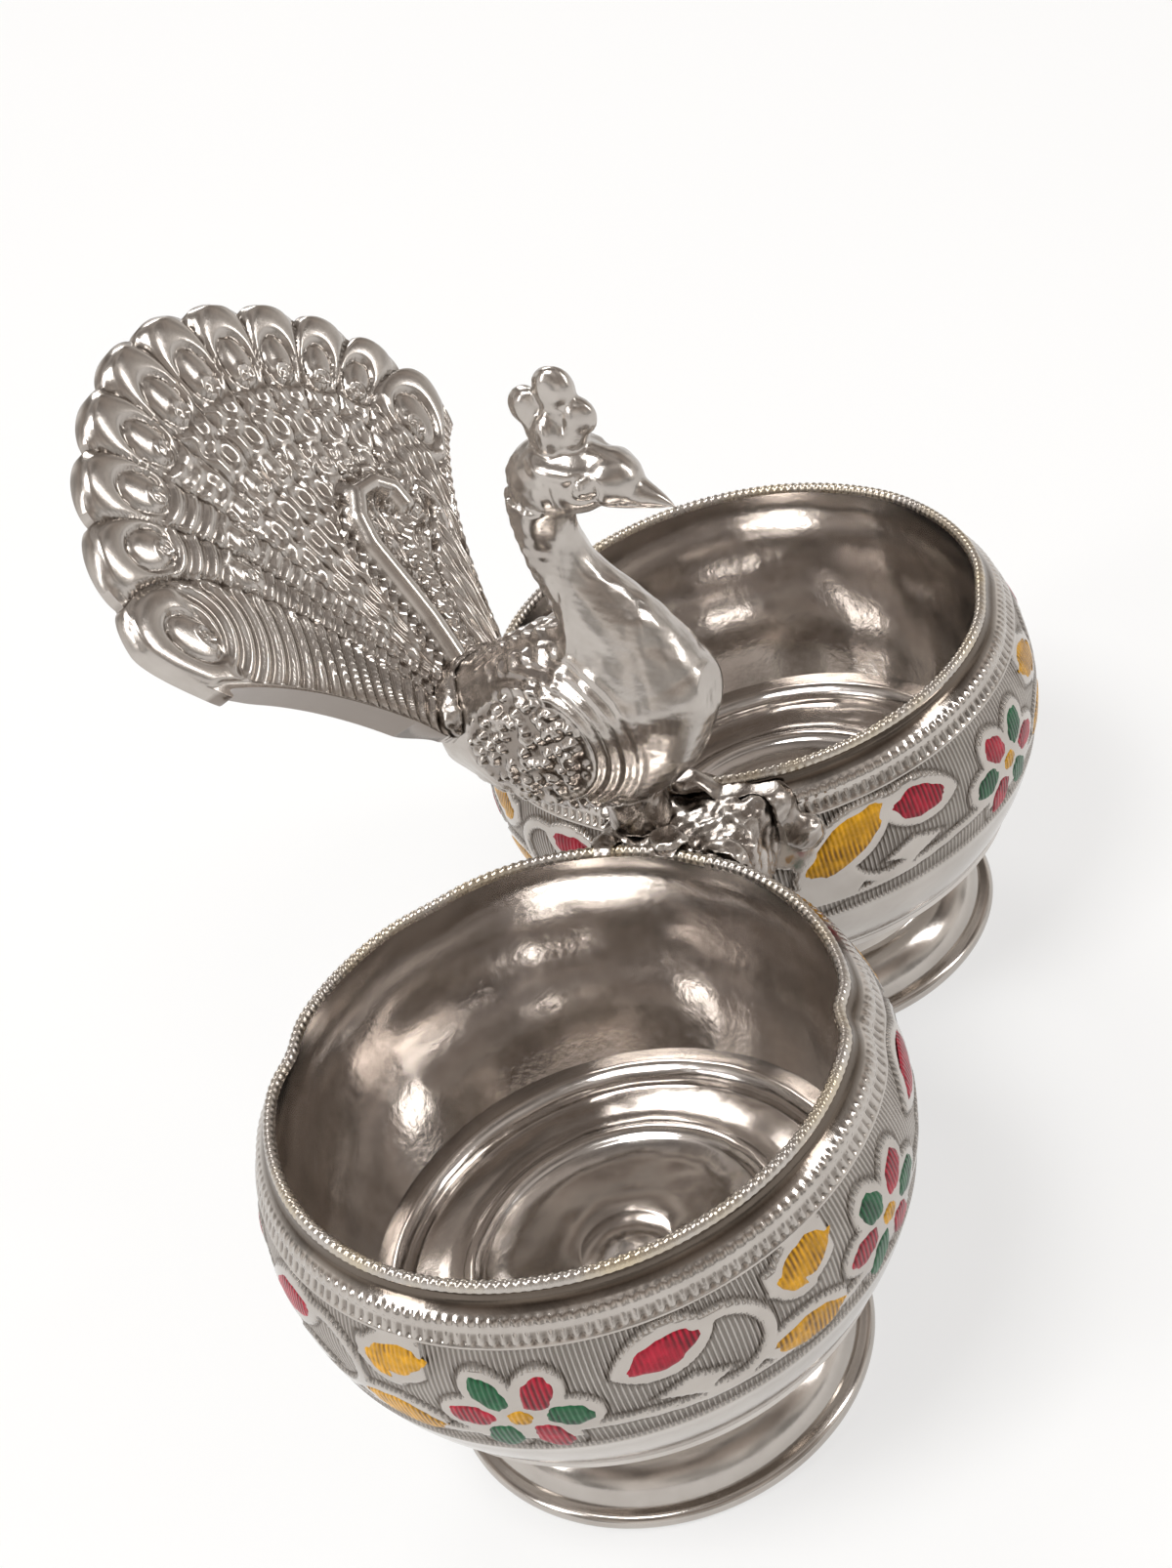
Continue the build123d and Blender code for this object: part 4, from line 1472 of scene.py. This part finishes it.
def beside_line(x, y, points):
    """Distance to a bent line, and how far along it the nearest place lies."""
    best = np.full(x.shape, 99.0)
    travelled = np.zeros(x.shape)
    start = 0.0
    for (ax, ay), (bx, by) in zip(points[:-1], points[1:]):
        run_x, run_y = bx - ax, by - ay
        length = hypot(run_x, run_y)
        t = np.clip(((x - ax) * run_x + (y - ay) * run_y) / length ** 2, 0, 1)
        away = np.hypot(x - ax - t * run_x, y - ay - t * run_y)
        travelled = np.where(away < best, start + t * length, travelled)
        best = np.minimum(best, away)
        start += length
    return best, travelled


def plume_relief(x, y):
    """The hooked plume at the root: a round stem, combed inside, and a second plume with an eye."""
    stem, travelled = beside_line(x, y, STEM)
    second, along = beside_line(x, y, SECOND_PLUME)
    eye = np.hypot(x - PLUME_EYE[0], y - PLUME_EYE[1])
    body_width = 0.7 + 1.1 * hump(along, 0, 3.6)
    body = dome(second / body_width)
    round_stem = dome(stem / 1.1)
    comb = wave((travelled + 0.9 * stem) * 2 * pi / 1.3)
    ribs = wave((along + 0.8 * second) * 2 * pi / 1.25)
    height = 0.05 + 0.45 * comb
    height = np.maximum(height, (0.60 + 0.30 * ribs) * body)
    height = np.maximum(height, 1.25 * round_stem)
    height += 0.22 * hump(eye, 0.95, 0.2) - 0.20 * hump(eye, 0.55, 0.2) + 0.12 * hump(eye, 0, 0.3)
    cover = np.maximum(fade(1.7, 2.2, stem), fade(0.1, 0.5, second - body_width))
    dark, _ = beside_line(x, y, GROOVE)
    cut = fade(0.25, 0.75, dark)
    return cover, height, cut


def to_frame(flat, out):
    """Places in the fan's plane, and how far they stand out of it, in the object's frame."""
    up = FAN_ROOT_Z + flat[..., 1] * cos(FAN_LEAN) + out * sin(FAN_LEAN)
    along = FAN_ROOT_Y + flat[..., 1] * sin(FAN_LEAN) - out * cos(FAN_LEAN)
    x, y = turned(flat[..., 0], along, BIRD_TURN)
    return np.stack([x, y, up], axis=-1) + BIRD_PIVOT


FAN_ACROSS, FAN_ALONG = 300, 158
FAN_BACK = 1.2                  # how far the plain back lies behind the plate
FAN_SHEET = 1.1
FLANGE_DEPTH = 1.9


def lobed_surface(share, t, length):
    """Places in the fan's plane, drawn out to a round lobe at the end of each feather."""
    _, across, _ = feather_cells(share, t)
    scallop = 1.45 * dome(across / 1.02)
    corner = 2.4 * fade(-1.0, -0.86, share) + 0.8 * smoothstep(0.9, 1.0, share)
    stretch = 1 + smoothstep(0.80, 1.0, t) * (scallop - 0.55 - corner) / length
    centre = np.array([0.0, -FAN_CENTRE_DROP])
    return centre + (fan_surface(share, t) - centre) * stretch[:, None]


def tail_relief(share, t, length, flat):
    """Feathers and curled plume together, about 0 to 1, and the painted shade in the hollows."""
    relief, hollow = feather_relief(share, t, length, flat)
    cover, plume, cut = plume_relief(flat[:, 0], flat[:, 1])
    relief = relief * (1 - cover) + plume * cover
    relief -= 0.45 * cut * (1 - cover)
    relief *= 0.4 + 0.6 * smoothstep(0.0, 0.10, t)
    # Painted shade between the plume's comb ribs and in the groove beside its stem.
    combed = cover * np.clip(0.7 - 1.6 * plume, 0, 1)
    return relief, np.clip(hollow * (1 - cover) + combed + 0.9 * cut * (1 - cover), 0, 0.9)


def flange_depth(share, t):
    """The near side of the sheet is folded back, except at its two ends."""
    return FLANGE_DEPTH * fade(-0.985, -0.94, share) * smoothstep(0.0, 0.12, t) * fade(0.62, 0.93, t)


class HOLDER_OT_tail(bpy.types.Operator):
    """Makes the stamped tail fan with its feathers, barbs, eyes and curled plume"""

    bl_idname = "holder.tail"
    bl_label = "Tail fan"

    def execute(self, context):
        deselect()
        bpy.ops.mesh.primitive_grid_add(
            x_subdivisions=FAN_ACROSS, y_subdivisions=FAN_ALONG, size=2 * MM
        )
        piece = context.object
        piece.name = "stamped_tail"
        grid = vertices(piece)
        share = np.clip(grid[:, 0], -1, 1)
        t = np.clip((grid[:, 1] + 1) / 2, 0, 1)
        whole = fan_surface(share, np.ones_like(t)) - fan_surface(share, np.zeros_like(t))
        length = np.linalg.norm(whole, axis=-1)
        flat = lobed_surface(share, t, length)
        relief, hollow = tail_relief(share, t, length, flat)
        move_vertices(piece, to_frame(flat, relief * sizes().feather_relief / MM))
        # The hollow mark carries the painted shade.
        mark(piece, "hollow", hollow)
        activate(piece)
        bpy.ops.object.modifier_add(type="SOLIDIFY")
        piece.modifiers[-1].thickness = FAN_SHEET * MM
        piece.modifiers[-1].offset = -1.0
        bpy.ops.object.modifier_apply(modifier=piece.modifiers[-1].name)
        places = vertices(piece)
        places[len(share):] = to_frame(flat, -FAN_BACK - flange_depth(share, t))
        move_vertices(piece, places)
        tidy_normals(piece)
        smooth_shade(piece, 60)
        tail_metal = cast("Stamped tail", 0.18, 0.30, 0.12)
        finish_piece(piece, tail_metal, "stamped_tail_metal", "tail_fan")
        return {"FINISHED"}


class HOLDER_PT_panel(bpy.types.Panel):
    """Lists the sizes, the colours and the steps"""

    bl_idname = "HOLDER_PT_panel"
    bl_label = "Kumkum holder"
    bl_space_type = "VIEW_3D"
    bl_region_type = "UI"
    bl_category = "Kumkum holder"

    def draw(self, context):
        column = self.layout.column()
        for group in (context.scene.holder_sizes, context.scene.holder_colours):
            for name in group.__annotations__:
                column.prop(group, name)
        for step in STEPS:
            column.operator(step.bl_idname)


STEPS = (
    HOLDER_OT_stage,
    HOLDER_OT_walls,
    HOLDER_OT_wires,
    HOLDER_OT_floors,
    HOLDER_OT_feet,
    HOLDER_OT_enamel,
    HOLDER_OT_peacock,
    HOLDER_OT_joints,
    HOLDER_OT_tail,
)
CLASSES = (HolderSizes, HolderColours) + STEPS + (HOLDER_PT_panel,)


def register():
    for cls in CLASSES:
        bpy.utils.register_class(cls)
    bpy.types.Scene.holder_sizes = bpy.props.PointerProperty(type=HolderSizes)
    bpy.types.Scene.holder_colours = bpy.props.PointerProperty(type=HolderColours)


def unregister():
    del bpy.types.Scene.holder_colours
    del bpy.types.Scene.holder_sizes
    for cls in reversed(CLASSES):
        bpy.utils.unregister_class(cls)


def main():
    register()
    bpy.ops.holder.stage()
    bpy.ops.holder.walls()
    bpy.ops.holder.wires()
    bpy.ops.holder.floors()
    bpy.ops.holder.feet()
    bpy.ops.holder.enamel()
    bpy.ops.holder.peacock()
    bpy.ops.holder.joints()
    bpy.ops.holder.tail()


if __name__ == "__main__":
    main()
